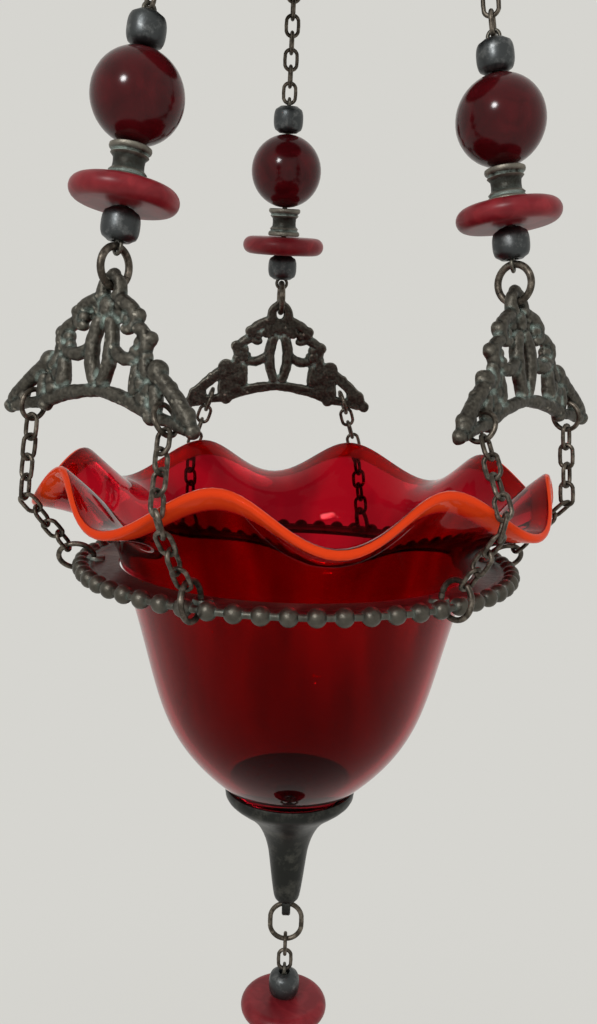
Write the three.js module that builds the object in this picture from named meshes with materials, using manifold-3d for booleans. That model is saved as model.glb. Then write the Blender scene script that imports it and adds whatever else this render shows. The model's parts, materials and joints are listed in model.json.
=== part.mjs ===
// Hanging oil lamp: a ruffled ruby glass bowl in a beaded ring, hung by three beaded chains.
// Millimetres, +Z up. The origin is the top of the hanging ring's bore, where the hook bears.

import * as THREE from 'three';
import { mergeVertices } from 'three/addons/utils/BufferGeometryUtils.js';
import Module from 'manifold-3d';

const wasm = await Module();
wasm.setup();

// Fits
const clearance = 0.35;
const linkBite = 0.3;
const swingClearance = 0.5;

// Beaded ring; until the lamp is hung, height 0 is the plane through its beads
const beadCircleRadius = 66;
const edgeBeadCount = 60;
const edgeBeadDiameter = 4.4;
const railDiameter = 2.2;
const flangeInnerRadius = 54.6;
const flangeThickness = 1.4;
const bossDiameter = 5.6;
const bossHeight = 1.3;

// Three strings, each bearing two lugs of the ring
const stringCount = 3;
const firstStringAngle = -21.5;
const lugSpread = 30;
const stringLean = 8.5;
const ballHeight = 128;
const ballCircleRadius = 56;

// Stack of beads on each string
const ballDiameter = 24.4;
const discDiameter = 28.8;
const discThickness = 6;
const barrelDiameter = 10.2;
const barrelEndDiameter = 6.6;
const topBarrelHeight = 8.6;
const lowerBarrelHeight = 8.4;
const barrelTaper = 2.9;
const barrelRecessDepth = 1.7;
const spoolFlangeDiameter = 11.2;
const spoolWaistDiameter = 8.4;
const spoolHeight = 9.4;
const spoolFlangeHeight = 1.7;
const spoolTaper = 1;
const pinDiameter = 1.8;
const eyeWire = 1.1;

// Jump rings
const stringRingOuter = 12.4;
const stringRingWire = 2.05;
const armRingOuter = 9.6;
const armRingWire = 1.4;
const lugRingOuter = 12;
const lugRingWire = 1.6;

// Chain
const linkWidth = 5.4;
const linkWire = 1.25;
const linkTipWidth = 2.7;
const upperLinkPitch = 5.3;
const upperLinkCount = 7;
const shortLinkCount = 8;

// Cast bracket
const bracketThickness = 2.4;
const bracketHoleSpread = 24;
const bracketHoleDrop = 29;
const armHeelDiameter = 5;
const armTipDiameter = 4;

// Glass bowl
const lobeCount = 8;
const lobeAngle = -82;
const lobeRise = 6.4;
const lobeReach = 2.3;
const lipRadius = 77;
const lipHeight = 23.5;
const lipRound = 1;
const glassWall = 2.6;
const bowlDepth = 75;
const glassSides = 40;
const glassFootRadius = 20.2;
const glassFootRise = 1.5;
const pegDiameter = 16;
const pegDepth = 7;

// Curve handles of the glass wall, out and up from its foot, in and down from its neck, and of its flare
const wallFootOut = 31;
const wallFootUp = 27.7;
const wallNeckIn = 4.2;
const wallNeckDown = 20;
const flareOut = 2.1;
const flareUp = 14.2;

// Finial cup and pendant
const cupOverhang = 0.6;
const cupEdge = 1.2;
const cupDepth = 17;
const stemTopDiameter = 12.8;
const stemFootDiameter = 8.2;
const stemLength = 21.5;
const tabThickness = 2.8;
const tabWidth = 7.6;
const finialRingWidth = 12;
const finialRingHeight = 14.4;
const finialRingWire = 1.6;
const pendantLinkCount = 2;
const pendantLinkPitch = 6;
const pinHeadDiameter = 3.8;
const pinHeadHeight = 1.8;

// Crown and hanging ring
const crownThickness = 1.6;
const crownRise = 9;
const crownTabThickness = 1.4;
const crownTabWidth = 7;
const crownBrim = 4;
const hangingTabThickness = 3;
const hangingTabWidth = 9;
const hangingTabRise = 7;
const hangingRingOuter = 34;
const hangingRingWire = 3.2;

// Materials
const patina = { color: 0x4a4640, roughness: 0.55, metalness: 0.85 };
const gunmetal = { color: 0x363c40, roughness: 0.35, metalness: 0.9 };
const chainMetal = { color: 0x57534c, roughness: 0.45, metalness: 0.85 };
const rubyGlass = { color: 0x7a0a0e, roughness: 0.08, metalness: 0 };
const rubyBead = { color: 0x6b0d10, roughness: 0.18, metalness: 0 };

const radians = THREE.MathUtils.degToRad;
const vec = (x, y, z) => new THREE.Vector3(x, y, z);

// Merged vertices, no empty triangles, faces outward
function cleaned(geometry) {
  const bare = new THREE.BufferGeometry();
  bare.setAttribute('position', geometry.getAttribute('position').clone());
  if (geometry.index) bare.setIndex(geometry.index.clone());
  const merged = mergeVertices(bare, 1e-4);
  const place = merged.getAttribute('position');
  const kept = [];
  let volume = 0;
  const corners = [vec(), vec(), vec()];
  for (let i = 0; i < merged.index.count; i += 3) {
    const face = [0, 1, 2].map((k) => merged.index.getX(i + k));
    if (face[0] === face[1] || face[1] === face[2] || face[2] === face[0]) continue;
    face.forEach((index, k) => corners[k].fromBufferAttribute(place, index));
    volume += corners[0].dot(corners[1].clone().cross(corners[2]));
    kept.push(face);
  }
  if (volume < 0) kept.forEach((face) => face.reverse());
  merged.setIndex(kept.flat());
  return merged;
}

function toSolid(geometry) {
  const closed = cleaned(geometry);
  return new wasm.Manifold(new wasm.Mesh({
    numProp: 3,
    vertProperties: new Float32Array(closed.getAttribute('position').array),
    triVerts: new Uint32Array(closed.index.array),
  }));
}

function toGeometry(solid) {
  const mesh = solid.getMesh();
  const geometry = new THREE.BufferGeometry();
  geometry.setAttribute('position', new THREE.BufferAttribute(mesh.vertProperties, 3));
  geometry.setIndex(new THREE.BufferAttribute(mesh.triVerts, 1));
  return geometry;
}

const joined = (geometries) => toGeometry(wasm.Manifold.union(geometries.map(toSolid)));

function cut(geometry, cutters) {
  return toGeometry(toSolid(geometry).subtract(wasm.Manifold.union(cutters.map(toSolid))));
}

function piece(name, geometry, look) {
  const shown = cleaned(geometry);
  shown.computeVertexNormals();
  const mesh = new THREE.Mesh(shown, new THREE.MeshStandardMaterial(look));
  mesh.name = name;
  return mesh;
}

// Turned form: profile of [radius, height] pairs, revolved about Z
function turned(profile, segments) {
  const points = profile.map(([radius, height]) => new THREE.Vector2(radius, height));
  return new THREE.LatheGeometry(points, segments).rotateX(Math.PI / 2);
}

function arc(centreRadius, centreHeight, radius, from, to, steps) {
  return Array.from({ length: steps + 1 }, (_, k) => {
    const angle = radians(from + ((to - from) * k) / steps);
    return [centreRadius + radius * Math.cos(angle), centreHeight + radius * Math.sin(angle)];
  });
}

function ovalPoints(x, y, halfWidth, halfHeight, tilt, count) {
  return Array.from({ length: count }, (_, k) => {
    const angle = (2 * Math.PI * k) / count;
    const point = new THREE.Vector2(halfWidth * Math.cos(angle), halfHeight * Math.sin(angle));
    return point.rotateAround(new THREE.Vector2(), radians(tilt)).add(new THREE.Vector2(x, y));
  });
}

// Round wire ring lying in the local XZ plane, centred on the origin
function wireRing(outer, wire, sides, segments) {
  return new THREE.TorusGeometry((outer - wire) / 2, wire / 2, sides, segments).rotateX(Math.PI / 2);
}

// Frame whose X is `across`, Z is `along` and Y is square to both, at `place`
function frameAt(place, across, along) {
  const z = along.clone().normalize();
  const x = across.clone().addScaledVector(z, -across.dot(z)).normalize();
  const y = z.clone().cross(x);
  return new THREE.Matrix4().makeBasis(x, y, z).setPosition(place);
}

// Closed skin through sections of equally many points, the last section joined to the first
function swept(sections) {
  const rows = sections[0].length;
  const faces = [];
  sections.forEach((section, i) => {
    const next = (i + 1) % sections.length;
    section.forEach((point, k) => {
      const after = (k + 1) % rows;
      const [a, b] = [i * rows + k, next * rows + k];
      const [c, d] = [next * rows + after, i * rows + after];
      faces.push(a, b, c, a, c, d);
    });
  });
  const geometry = new THREE.BufferGeometry().setFromPoints(sections.flat());
  geometry.setIndex(faces);
  return geometry;
}

// A profile of [radius, height] pairs, stood at an angle about Z
const atAngle = (profile, angle) => profile.map(
  ([radius, height]) => vec(radius * Math.cos(angle), radius * Math.sin(angle), height),
);

// Radius of a hole of so many sides that clears a round of `radius`
const clearing = (radius, sides) => (radius + clearance) / Math.cos(Math.PI / sides);

// Square-section loop through a closed flat outline in XZ, mitred at each corner
function mitredLoop(outline, halfWire) {
  const count = outline.length;
  return swept(outline.map((corner, i) => {
    const before = outline[(i + count - 1) % count];
    const after = outline[(i + 1) % count];
    const out = after.clone().sub(corner).normalize();
    const along = corner.clone().sub(before).normalize().add(out).normalize();
    const side = new THREE.Vector2(along.y, -along.x).multiplyScalar(halfWire / along.dot(out));
    return [[1, 1], [1, -1], [-1, -1], [-1, 1]].map(
      ([outward, raised]) => vec(corner.x + side.x * outward, halfWire * raised, corner.y + side.y * outward),
    );
  }));
}

// Link in XZ, long along Z, with flat tips to seat on: `length` and `width` along its wire
function linkLoop(length, width, halfWire) {
  const tip = linkTipWidth / 2;
  const outline = [
    [tip, length / 2],
    [-tip, length / 2],
    [-width / 2, 0],
    [-tip, -length / 2],
    [tip, -length / 2],
    [width / 2, 0],
  ];
  return mitredLoop(outline.map(([x, z]) => new THREE.Vector2(x, z)), halfWire);
}

// Half the side of a square wire with the round wire's area
const linkHalf = (linkWire * Math.sqrt(Math.PI)) / 4;
const linkCentreWidth = linkWidth - linkWire;
const linkHoleRadius = Math.hypot(linkHalf, linkHalf) + clearance;

// One run of chain along `path`: each link a quarter turn from the last, and what turn is then
// left between the two end directions taken up at the link that spans the bend
function chainRun(path, firstSide, lastSide, count) {
  const lengths = path.slice(1).map((point, i) => point.distanceTo(path[i]));
  const total = lengths.reduce((sum, length) => sum + length, 0);
  const pointAt = (distance) => {
    let left = distance;
    let i = 0;
    while (i < lengths.length - 1 && left > lengths[i]) {
      left -= lengths[i];
      i += 1;
    }
    return path[i].clone().lerp(path[i + 1], left / lengths[i]);
  };
  const joints = Array.from({ length: count + 1 }, (_, k) => pointAt((total * k) / count));
  const along = joints.slice(1).map((joint, k) => joint.clone().sub(joints[k]).normalize());
  const squared = (side, direction) => side.clone().projectOnPlane(direction).normalize();
  const sides = [squared(firstSide, along[0])];
  for (let k = 1; k < count; k += 1) sides.push(squared(sides[k - 1], along[k]));
  const last = squared(lastSide, along[count - 1]);
  const carried = sides[count - 1];
  const sine = along[count - 1].dot(carried.clone().cross(last));
  const needed = Math.atan2(sine, carried.dot(last)) - (count - 1) * (Math.PI / 2);
  const leftover = needed - Math.PI * Math.round(needed / Math.PI);
  const bend = Math.floor((count * lengths[0]) / total);
  const turnOf = (k) => (k * Math.PI) / 2 + leftover * THREE.MathUtils.clamp((k - bend + 1) / 2, 0, 1);
  const links = along.map((direction, k) => {
    const middle = joints[k].clone().add(joints[k + 1]).multiplyScalar(0.5);
    const span = joints[k].distanceTo(joints[k + 1]);
    const side = sides[k].clone().applyAxisAngle(direction, turnOf(k));
    const loop = linkLoop(span + 2 * linkHalf - linkBite, linkCentreWidth, linkHalf);
    return loop.applyMatrix4(frameAt(middle, side, direction));
  });
  return joined(links);
}

// From the centre of the wire that an end link hangs on to the run's first joint
const hookReach = (wire) => wire / 2 + clearance + linkBite / 2;

// Glass bowl: the wall's curve runs from the foot to the neck in the ring and flares to the lip
const neck = new THREE.Vector2(flangeInnerRadius - clearance, flangeThickness / 2);
const foot = new THREE.Vector2(glassFootRadius, glassFootRise - bowlDepth);
const wallCurve = new THREE.CubicBezierCurve(
  foot,
  foot.clone().add(new THREE.Vector2(wallFootOut, wallFootUp)),
  neck.clone().add(new THREE.Vector2(-wallNeckIn, -wallNeckDown)),
  neck,
);
const flareCurve = new THREE.QuadraticBezierCurve(
  neck,
  neck.clone().add(new THREE.Vector2(flareOut, flareUp)),
  new THREE.Vector2(lipRadius, lipHeight),
);
const lobeWave = (angle) => Math.cos(lobeCount * (angle - radians(lobeAngle)));

// The ruffle grows along the flare as the square of the way to the lip
function flarePoint(way, angle) {
  const wave = lobeWave(angle) * way ** 2;
  return flareCurve.getPoint(way).add(new THREE.Vector2(lobeReach * wave, -lobeRise * wave));
}

const glassFloor = foot.y + glassWall;
const lipPoint = (angle) => flarePoint(1, angle);

function glassProfile(angle) {
  const outer = [...wallCurve.getPoints(4), ...[0.4, 0.7, 1].map((way) => flarePoint(way, angle))];
  const inner = outer.map((point, k) => {
    const ahead = outer[Math.min(k + 1, outer.length - 1)];
    const behind = outer[Math.max(k - 1, 0)];
    const along = ahead.clone().sub(behind).normalize();
    return new THREE.Vector2(point.x - along.y * glassWall, point.y + along.x * glassWall);
  });
  inner[0].set(foot.x - glassWall, glassFloor);
  const [lipInside, lipOutside] = [inner[inner.length - 1], outer[outer.length - 1]];
  const rimWay = lipOutside.clone().sub(outer[outer.length - 2]).normalize();
  const lip = lipOutside.clone().lerp(lipInside, 0.5).addScaledVector(rimWay, lipRound);
  const peg = pegDiameter / 2;
  const under = [[0, -bowlDepth - pegDepth], [peg, -bowlDepth - pegDepth], [peg, -bowlDepth]];
  const wall = [...outer, lip, ...inner.reverse()].map((point) => [point.x, point.y]);
  return [...under, ...wall, [0, glassFloor]];
}

function glassBowl() {
  return swept(Array.from({ length: glassSides }, (_, i) => {
    const angle = (2 * Math.PI * i) / glassSides;
    return atAngle(glassProfile(angle), angle);
  }));
}

// Beads, bored for the pin
const ballSides = 12;
const discSides = 14;
const barrelSides = 8;
const spoolSides = 8;
const pinRadius = pinDiameter / 2;

function ballBead() {
  const bore = clearing(pinRadius, ballSides);
  const opening = THREE.MathUtils.radToDeg(Math.acos(bore / (ballDiameter / 2)));
  const outside = arc(0, 0, ballDiameter / 2, -opening, opening, 7);
  return turned([...outside, outside[0]], ballSides);
}

function discBead() {
  const bore = clearing(pinRadius, discSides);
  const edge = discThickness / 2;
  const rounded = arc(discDiameter / 2 - edge, 0, edge, -90, 90, 4);
  return turned([[bore, -edge], ...rounded, [bore, edge], [bore, -edge]], discSides);
}

// Barrel bead from height 0 down, an end being recessed where an eye of that radius enters it
function barrelBead(height, topEye, footEye) {
  const bore = clearing(pinRadius, barrelSides);
  const end = barrelEndDiameter / 2;
  const top = [[bore, 0]];
  if (topEye) {
    const recess = topEye / Math.cos(Math.PI / barrelSides);
    top.splice(0, 1, [recess, 0], [recess, -barrelRecessDepth], [bore, -barrelRecessDepth]);
  }
  const under = [[bore, -height]];
  if (footEye) {
    const recess = footEye / Math.cos(Math.PI / barrelSides);
    const roof = barrelRecessDepth - height;
    under.splice(0, 1, [bore, roof], [recess, roof], [recess, -height]);
  }
  const widest = barrelDiameter / 2;
  const outside = [[end, -height], [widest, barrelTaper - height], [widest, -barrelTaper], [end, 0]];
  return turned([...under, ...outside, ...top, under[0]], barrelSides);
}

// Waisted spool from height 0 down, with a rolled flange at each end
function spoolBead() {
  const bore = clearing(pinRadius, spoolSides);
  const flange = spoolFlangeDiameter / 2;
  const waist = spoolWaistDiameter / 2;
  const waistTop = -spoolFlangeHeight - spoolTaper;
  const profile = [
    [bore, -spoolHeight],
    [flange, -spoolHeight],
    [flange, -spoolHeight + spoolFlangeHeight],
    [waist, -spoolHeight - waistTop],
    [waist, waistTop],
    [flange, -spoolFlangeHeight],
    [flange, 0],
    [bore, 0],
    [bore, -spoolHeight],
  ];
  return turned(profile, spoolSides);
}

// Heights along a string from the middle of its ball, up being positive
const ballBed = Math.sqrt((ballDiameter / 2) ** 2 - clearing(pinRadius, ballSides) ** 2);
const topBarrelTop = ballBed + clearance + topBarrelHeight;
const spoolTop = -ballBed - clearance;
const discMiddle = spoolTop - spoolHeight - clearance - discThickness / 2;
const lowerBarrelTop = discMiddle - discThickness / 2 - clearance;
const lowerBarrelFoot = lowerBarrelTop - lowerBarrelHeight;
const lowerEyeRadius = stringRingWire / 2 + clearance + eyeWire / 2;
const lowerEyeOuter = lowerEyeRadius + eyeWire / 2;
const lowerEyeMiddle = lowerBarrelFoot - clearance - stringRingWire / 2;
const upperEyeRadius = linkHoleRadius + eyeWire / 2;
const upperEyeOuter = upperEyeRadius + eyeWire / 2;
const upperEyeMiddle = topBarrelTop - barrelRecessDepth + clearance + upperEyeOuter;
const stringRingRadius = (stringRingOuter - stringRingWire) / 2;
const bracketTop = lowerEyeMiddle - 2 * stringRingRadius;
const upperChainStart = upperEyeMiddle + linkHalf - linkBite / 2;
const upperChainEnd = upperChainStart + upperLinkCount * upperLinkPitch;
const crownEyeMiddle = upperChainEnd + linkHalf - linkBite / 2;

// Wire eye in XZ, centred on the origin, and a straight length of pin
const wireEye = (radius) => new THREE.TorusGeometry(radius, eyeWire / 2, 4, 8).rotateX(Math.PI / 2);
const pinShank = (low, high) => new THREE.CylinderGeometry(pinRadius, pinRadius, high - low, 6)
  .rotateX(Math.PI / 2).translate(0, 0, (low + high) / 2);

// Pin that threads a stack, with an eye turned at each end
function eyePin() {
  const shank = pinShank(lowerEyeMiddle + lowerEyeRadius, upperEyeMiddle - upperEyeRadius);
  const upperEye = wireEye(upperEyeRadius).translate(0, 0, upperEyeMiddle);
  const lowerEye = wireEye(lowerEyeRadius).rotateZ(Math.PI / 2).translate(0, 0, lowerEyeMiddle);
  return joined([shank, upperEye, lowerEye]);
}

// Cast openwork bracket in the local YZ plane, its top hole at the origin. Its right half is drawn
// in hundredths of the hole spread across and of the hole drop down, so each lower hole is at 100, -100.
const bracketOutline = [
  [0, 12], [13, 8], [16, -5], [36, -17], [44, -31], [58, -34], [67, -46], [71, -63], [87, -70],
  [103, -82], [139, -111], [144, -120], [134, -125], [113, -115], [96, -115], [78, -111], [63, -104],
  [29, -98],
];
// Each opening's middle, half width, half height and tilt
const bracketOpenings = [
  [0, -19, 5, 5, 0],
  [0, -60, 8, 18, 0],
  [36, -50, 14, 8, -32],
  [32, -78, 15, 8, 8],
  [60, -85, 7, 4, 20],
];
const armHeel = [79, -90];
const armTip = [134, -117];
const onBracket = (across, down) => new THREE.Vector2(
  (bracketHoleSpread * across) / 100,
  (bracketHoleDrop * down) / 100,
);

function bracketCasting(ringCutters) {
  const mirrored = bracketOutline.slice(1).reverse().map(([across, down]) => [-across, down]);
  const shape = new THREE.Shape([...bracketOutline, ...mirrored].map((point) => onBracket(...point)));
  bracketOpenings.forEach(([across, down, halfWidth, halfHeight, tilt]) => {
    const hands = across > 0 ? [1, -1] : [1];
    hands.forEach((hand) => {
      const oval = ovalPoints(across * hand, down, halfWidth, halfHeight, tilt * hand, 8);
      shape.holes.push(new THREE.Path(oval.map((point) => onBracket(point.x, point.y))));
    });
  });
  const intoYZ = new THREE.Matrix4().makeBasis(vec(0, 1, 0), vec(0, 0, 1), vec(1, 0, 0));
  const plate = new THREE.ExtrudeGeometry(shape, { depth: bracketThickness, bevelEnabled: false })
    .translate(0, 0, -bracketThickness / 2).applyMatrix4(intoYZ);
  const arms = [-1, 1].map((hand) => {
    const [heel, tip] = [armHeel, armTip].map(([across, down]) => onBracket(across * hand, down))
      .map((point) => vec(0, point.x, point.y));
    return new THREE.CylinderGeometry(armTipDiameter / 2, armHeelDiameter / 2, heel.distanceTo(tip), 6)
      .rotateX(Math.PI / 2)
      .applyMatrix4(frameAt(heel.clone().lerp(tip, 0.5), vec(1, 0, 0), tip.clone().sub(heel)));
  });
  return cut(joined([plate, ...arms]), ringCutters);
}

// Hung lamp: the frame of a string has X outward, Y along the ring, Z up, about the lamp's axis
const leanAngle = radians(stringLean);
const stringUp = vec(-Math.sin(leanAngle), 0, Math.cos(leanAngle));
const ballPlace = vec(ballCircleRadius, 0, ballHeight);
const onString = (height) => ballPlace.clone().addScaledVector(stringUp, height);
const armRingRadius = (armRingOuter - armRingWire) / 2;
const lugRingRadius = (lugRingOuter - lugRingWire) / 2;

// A lug's jump ring hangs round the rail, so its middle stands this far from the rail's
const lugSeat = lugRingRadius - lugRingWire / 2 - clearance - railDiameter / 2;
const chainStandOff = linkWidth / 2 + glassWall / 2 + lipRound;
const lipSamples = 60;

// The ring's own shape, and the same ring grown by the clearance to cut its hole
const stringLoop = (gap) => wireRing(stringRingOuter + 2 * gap, stringRingWire + 2 * gap, 6, 12);
const armLoop = (gap) => wireRing(armRingOuter + 2 * gap, armRingWire + 2 * gap, 4, 10);
const lugLoop = (gap) => wireRing(lugRingOuter + 2 * gap, lugRingWire + 2 * gap, 4, 10);
const hangingLoop = (gap) => wireRing(hangingRingOuter + 2 * gap, hangingRingWire + 2 * gap, 6, 16)
  .rotateZ(Math.PI / 2);

// The taut way from a bracket's hole to the ring's rail, over the lip of the glass where it bears
function chainWay(from, to, stringAngle) {
  const lipPlace = (angle) => {
    const lip = lipPoint(angle + stringAngle);
    const reach = lip.x + chainStandOff;
    return vec(reach * Math.cos(angle), reach * Math.sin(angle), lip.y - glassWall / 2);
  };
  const start = Math.atan2(from.y, from.x);
  const end = Math.atan2(to.y, to.x);
  let best = null;
  for (let k = 0; k <= lipSamples; k += 1) {
    const place = lipPlace(start + ((end - start) * k) / lipSamples);
    const length = from.distanceTo(place) + place.distanceTo(to);
    if (!best || length < best.length) best = { place, length };
  }
  return best;
}

function bracketFrame(turn) {
  const across = vec(Math.cos(leanAngle), 0, Math.sin(leanAngle)).applyAxisAngle(stringUp, turn);
  return frameAt(onString(bracketTop), across, stringUp);
}

const railPlace = (hand) => {
  const angle = radians(lugSpread) * hand;
  return vec(beadCircleRadius * Math.cos(angle), beadCircleRadius * Math.sin(angle), 0);
};

const holePlace = (frame, hand) => vec(0, bracketHoleSpread * hand, -bracketHoleDrop).applyMatrix4(frame);

// The bracket turns on its string until its two chains are equally long
function restingTurn(stringAngle) {
  const difference = (turn) => {
    const frame = bracketFrame(turn);
    const ways = [-1, 1].map((hand) => chainWay(holePlace(frame, hand), railPlace(hand), stringAngle));
    return ways[0].length - ways[1].length;
  };
  let low = -0.5;
  let high = 0.5;
  for (let k = 0; k < 24; k += 1) {
    const middle = (low + high) / 2;
    if (difference(middle) * difference(low) > 0) low = middle;
    else high = middle;
  }
  return (low + high) / 2;
}

function hungString(index) {
  const stringAngle = radians(firstStringAngle) + (2 * Math.PI * index) / stringCount;
  const frame = bracketFrame(restingTurn(stringAngle));
  const across = new THREE.Vector3().setFromMatrixColumn(frame, 0);
  const sides = [-1, 1].map((hand) => {
    const hole = holePlace(frame, hand);
    const rail = railPlace(hand);
    const way = chainWay(hole, rail, stringAngle);
    const down = way.place.clone().sub(hole).normalize();
    const armRing = frameAt(hole.clone().addScaledVector(down, armRingRadius), across, down);
    const pull = way.place.clone().sub(rail).normalize();
    const outward = vec(rail.x, rail.y, 0).normalize();
    const lugRing = frameAt(rail.clone().addScaledVector(pull, lugSeat), outward, pull);
    const lugTop = rail.clone().addScaledVector(pull, lugSeat + lugRingRadius);
    const start = hole.clone().addScaledVector(down, 2 * armRingRadius - hookReach(armRingWire));
    const end = lugTop.clone().addScaledVector(pull, -hookReach(lugRingWire));
    const ringAcross = new THREE.Vector3().setFromMatrixColumn(armRing, 1);
    const lugAcross = new THREE.Vector3().setFromMatrixColumn(lugRing, 1);
    return { hand, way, armRing, lugRing, start, end, ringAcross, lugAcross };
  });
  return { index, stringAngle, frame, sides };
}

const strings = Array.from({ length: stringCount }, (_, index) => hungString(index));
const sideName = (hand) => (hand < 0 ? 'a' : 'b');

function stringPieces({ index, stringAngle, frame, sides }) {
  const number = index + 1;
  const group = new THREE.Group();
  group.rotation.z = stringAngle;
  const stack = new THREE.Group();
  stack.position.copy(ballPlace);
  stack.rotation.y = -leanAngle;
  group.add(stack);
  const place = (mesh, height) => {
    mesh.position.z = height;
    stack.add(mesh);
  };
  const topBead = barrelBead(topBarrelHeight, upperEyeOuter, 0);
  const lowerBead = barrelBead(lowerBarrelHeight, 0, lowerEyeOuter);
  place(piece(`top_bead_${number}`, topBead, gunmetal), topBarrelTop);
  place(piece(`ball_${number}`, ballBead(), rubyBead), 0);
  place(piece(`spool_${number}`, spoolBead(), patina), spoolTop);
  place(piece(`disc_${number}`, discBead(), rubyBead), discMiddle);
  place(piece(`lower_bead_${number}`, lowerBead, gunmetal), lowerBarrelTop);
  place(piece(`eye_pin_${number}`, eyePin(), patina), 0);
  const chainPath = [vec(0, 0, upperChainStart), vec(0, 0, upperChainEnd)];
  const upperRun = chainRun(chainPath, vec(0, 1, 0), vec(0, 1, 0), upperLinkCount);
  place(piece(`upper_chain_${number}`, upperRun, chainMetal), 0);

  const across = new THREE.Vector3().setFromMatrixColumn(frame, 0);
  const ringFrame = frameAt(onString((lowerEyeMiddle + bracketTop) / 2), across, stringUp);
  const stringRing = piece(`string_ring_${number}`, stringLoop(0), patina);
  stringRing.applyMatrix4(ringFrame);
  group.add(stringRing);

  const intoBracket = frame.clone().invert();
  const cutters = [
    stringLoop(clearance).applyMatrix4(intoBracket.clone().multiply(ringFrame)),
    ...sides.map(({ armRing }) => armLoop(clearance).applyMatrix4(intoBracket.clone().multiply(armRing))),
  ];
  const bracket = piece(`bracket_${number}`, bracketCasting(cutters), patina);
  bracket.applyMatrix4(frame);
  group.add(bracket);

  sides.forEach(({ hand, way, armRing, lugRing, start, end, ringAcross, lugAcross }) => {
    const tag = `${number}${sideName(hand)}`;
    const upper = piece(`arm_ring_${tag}`, armLoop(0), chainMetal);
    upper.applyMatrix4(armRing);
    const lower = piece(`lug_ring_${tag}`, lugLoop(0), chainMetal);
    lower.applyMatrix4(lugRing);
    const run = chainRun([start, way.place, end], ringAcross, lugAcross, shortLinkCount);
    group.add(upper, lower, piece(`short_chain_${tag}`, run, chainMetal));
  });
  return group;
}

// Beaded ring: one section swept round, its rail swelling into each edge bead at two stations of three
const beadSwells = [0, 0.86, 0.86];

function beadedSection(swell) {
  const half = flangeThickness / 2;
  const radius = THREE.MathUtils.lerp(railDiameter, edgeBeadDiameter, swell) / 2;
  const inward = 180 - THREE.MathUtils.radToDeg(Math.asin(half / radius));
  return [
    [flangeInnerRadius, -half],
    ...arc(beadCircleRadius, 0, radius, -inward, inward, 3),
    [flangeInnerRadius, half],
  ];
}

function beadedRing() {
  const stations = edgeBeadCount * beadSwells.length;
  const firstLug = radians(firstStringAngle + lugSpread);
  const parts = [swept(Array.from({ length: stations }, (_, k) => {
    const angle = firstLug + (2 * Math.PI * k) / stations;
    return atAngle(beadedSection(beadSwells[k % beadSwells.length]), angle);
  }))];
  const cutters = [];
  const bossReach = beadCircleRadius - Math.sqrt(lugRingRadius ** 2 - lugSeat ** 2);
  const bossRoot = flangeThickness / 4;
  strings.forEach(({ stringAngle, sides }) => sides.forEach(({ hand, lugRing }) => {
    const boss = new THREE.CylinderGeometry(bossDiameter / 2, bossDiameter / 2, bossHeight + bossRoot, 6);
    boss.rotateX(Math.PI / 2).translate(bossReach, 0, bossRoot + (bossHeight + bossRoot) / 2);
    parts.push(boss.rotateZ(stringAngle + radians(lugSpread) * hand));
    cutters.push(lugLoop(clearance).applyMatrix4(lugRing).rotateZ(stringAngle));
  }));
  return cut(joined(parts), cutters);
}

// Finial cup: it holds the glass by its peg, and its stem's tab carries the pendant's ring
const cupSides = 16;
const cupSeat = -bowlDepth - clearance;
const cupRimTop = cupSeat + glassFootRise;
const stemBottom = cupRimTop - cupDepth - stemLength;
const tabHole = stemBottom - tabWidth / 2;
const finialRingDrop = (finialRingHeight - finialRingWire) / 2;
const finialRingMiddle = tabHole - finialRingDrop;

function finialRingLoop(gap) {
  const halfWidth = (finialRingWidth - finialRingWire) / 2;
  const way = new THREE.EllipseCurve(0, 0, halfWidth, finialRingDrop).getPoints(14).slice(1);
  const curve = new THREE.CatmullRomCurve3(way.map((point) => vec(point.x, 0, point.y)), true);
  return new THREE.TubeGeometry(curve, 14, finialRingWire / 2 + gap, 6, true);
}

// Flat tab in XZ with a round end about its hole at the origin, rising to `rise`
function roundTab(width, thickness, rise) {
  const shape = new THREE.Shape();
  shape.moveTo(-width / 2, rise);
  shape.lineTo(-width / 2, 0);
  shape.absarc(0, 0, width / 2, Math.PI, 2 * Math.PI, false);
  shape.lineTo(width / 2, rise);
  return new THREE.ExtrudeGeometry(shape, { depth: thickness, bevelEnabled: false, curveSegments: 5 })
    .translate(0, 0, -thickness / 2).rotateX(Math.PI / 2);
}

function finialCup() {
  const socket = clearing(pegDiameter / 2, cupSides);
  const rim = glassFootRadius + cupOverhang;
  const stemTop = stemTopDiameter / 2;
  const flank = new THREE.CubicBezierCurve(
    new THREE.Vector2(rim, cupRimTop - cupEdge),
    new THREE.Vector2(rim - 1.3, cupRimTop - cupDepth / 3),
    new THREE.Vector2(stemTop + 1.6, cupRimTop - cupDepth / 2),
    new THREE.Vector2(stemTop, cupRimTop - cupDepth),
  ).getPoints(4).map((point) => [point.x, point.y]);
  const profile = [
    [0, cupSeat - pegDepth],
    [socket, cupSeat - pegDepth],
    [socket, cupSeat],
    [glassFootRadius, cupRimTop],
    [rim, cupRimTop],
    ...flank,
    [stemFootDiameter / 2, stemBottom],
    [0, stemBottom],
  ];
  const tab = roundTab(tabWidth, tabThickness, tabWidth).rotateZ(Math.PI / 2).translate(0, 0, tabHole);
  const hole = finialRingLoop(clearance).translate(0, 0, finialRingMiddle);
  return cut(joined([turned(profile, cupSides), tab]), [hole]);
}

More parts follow.
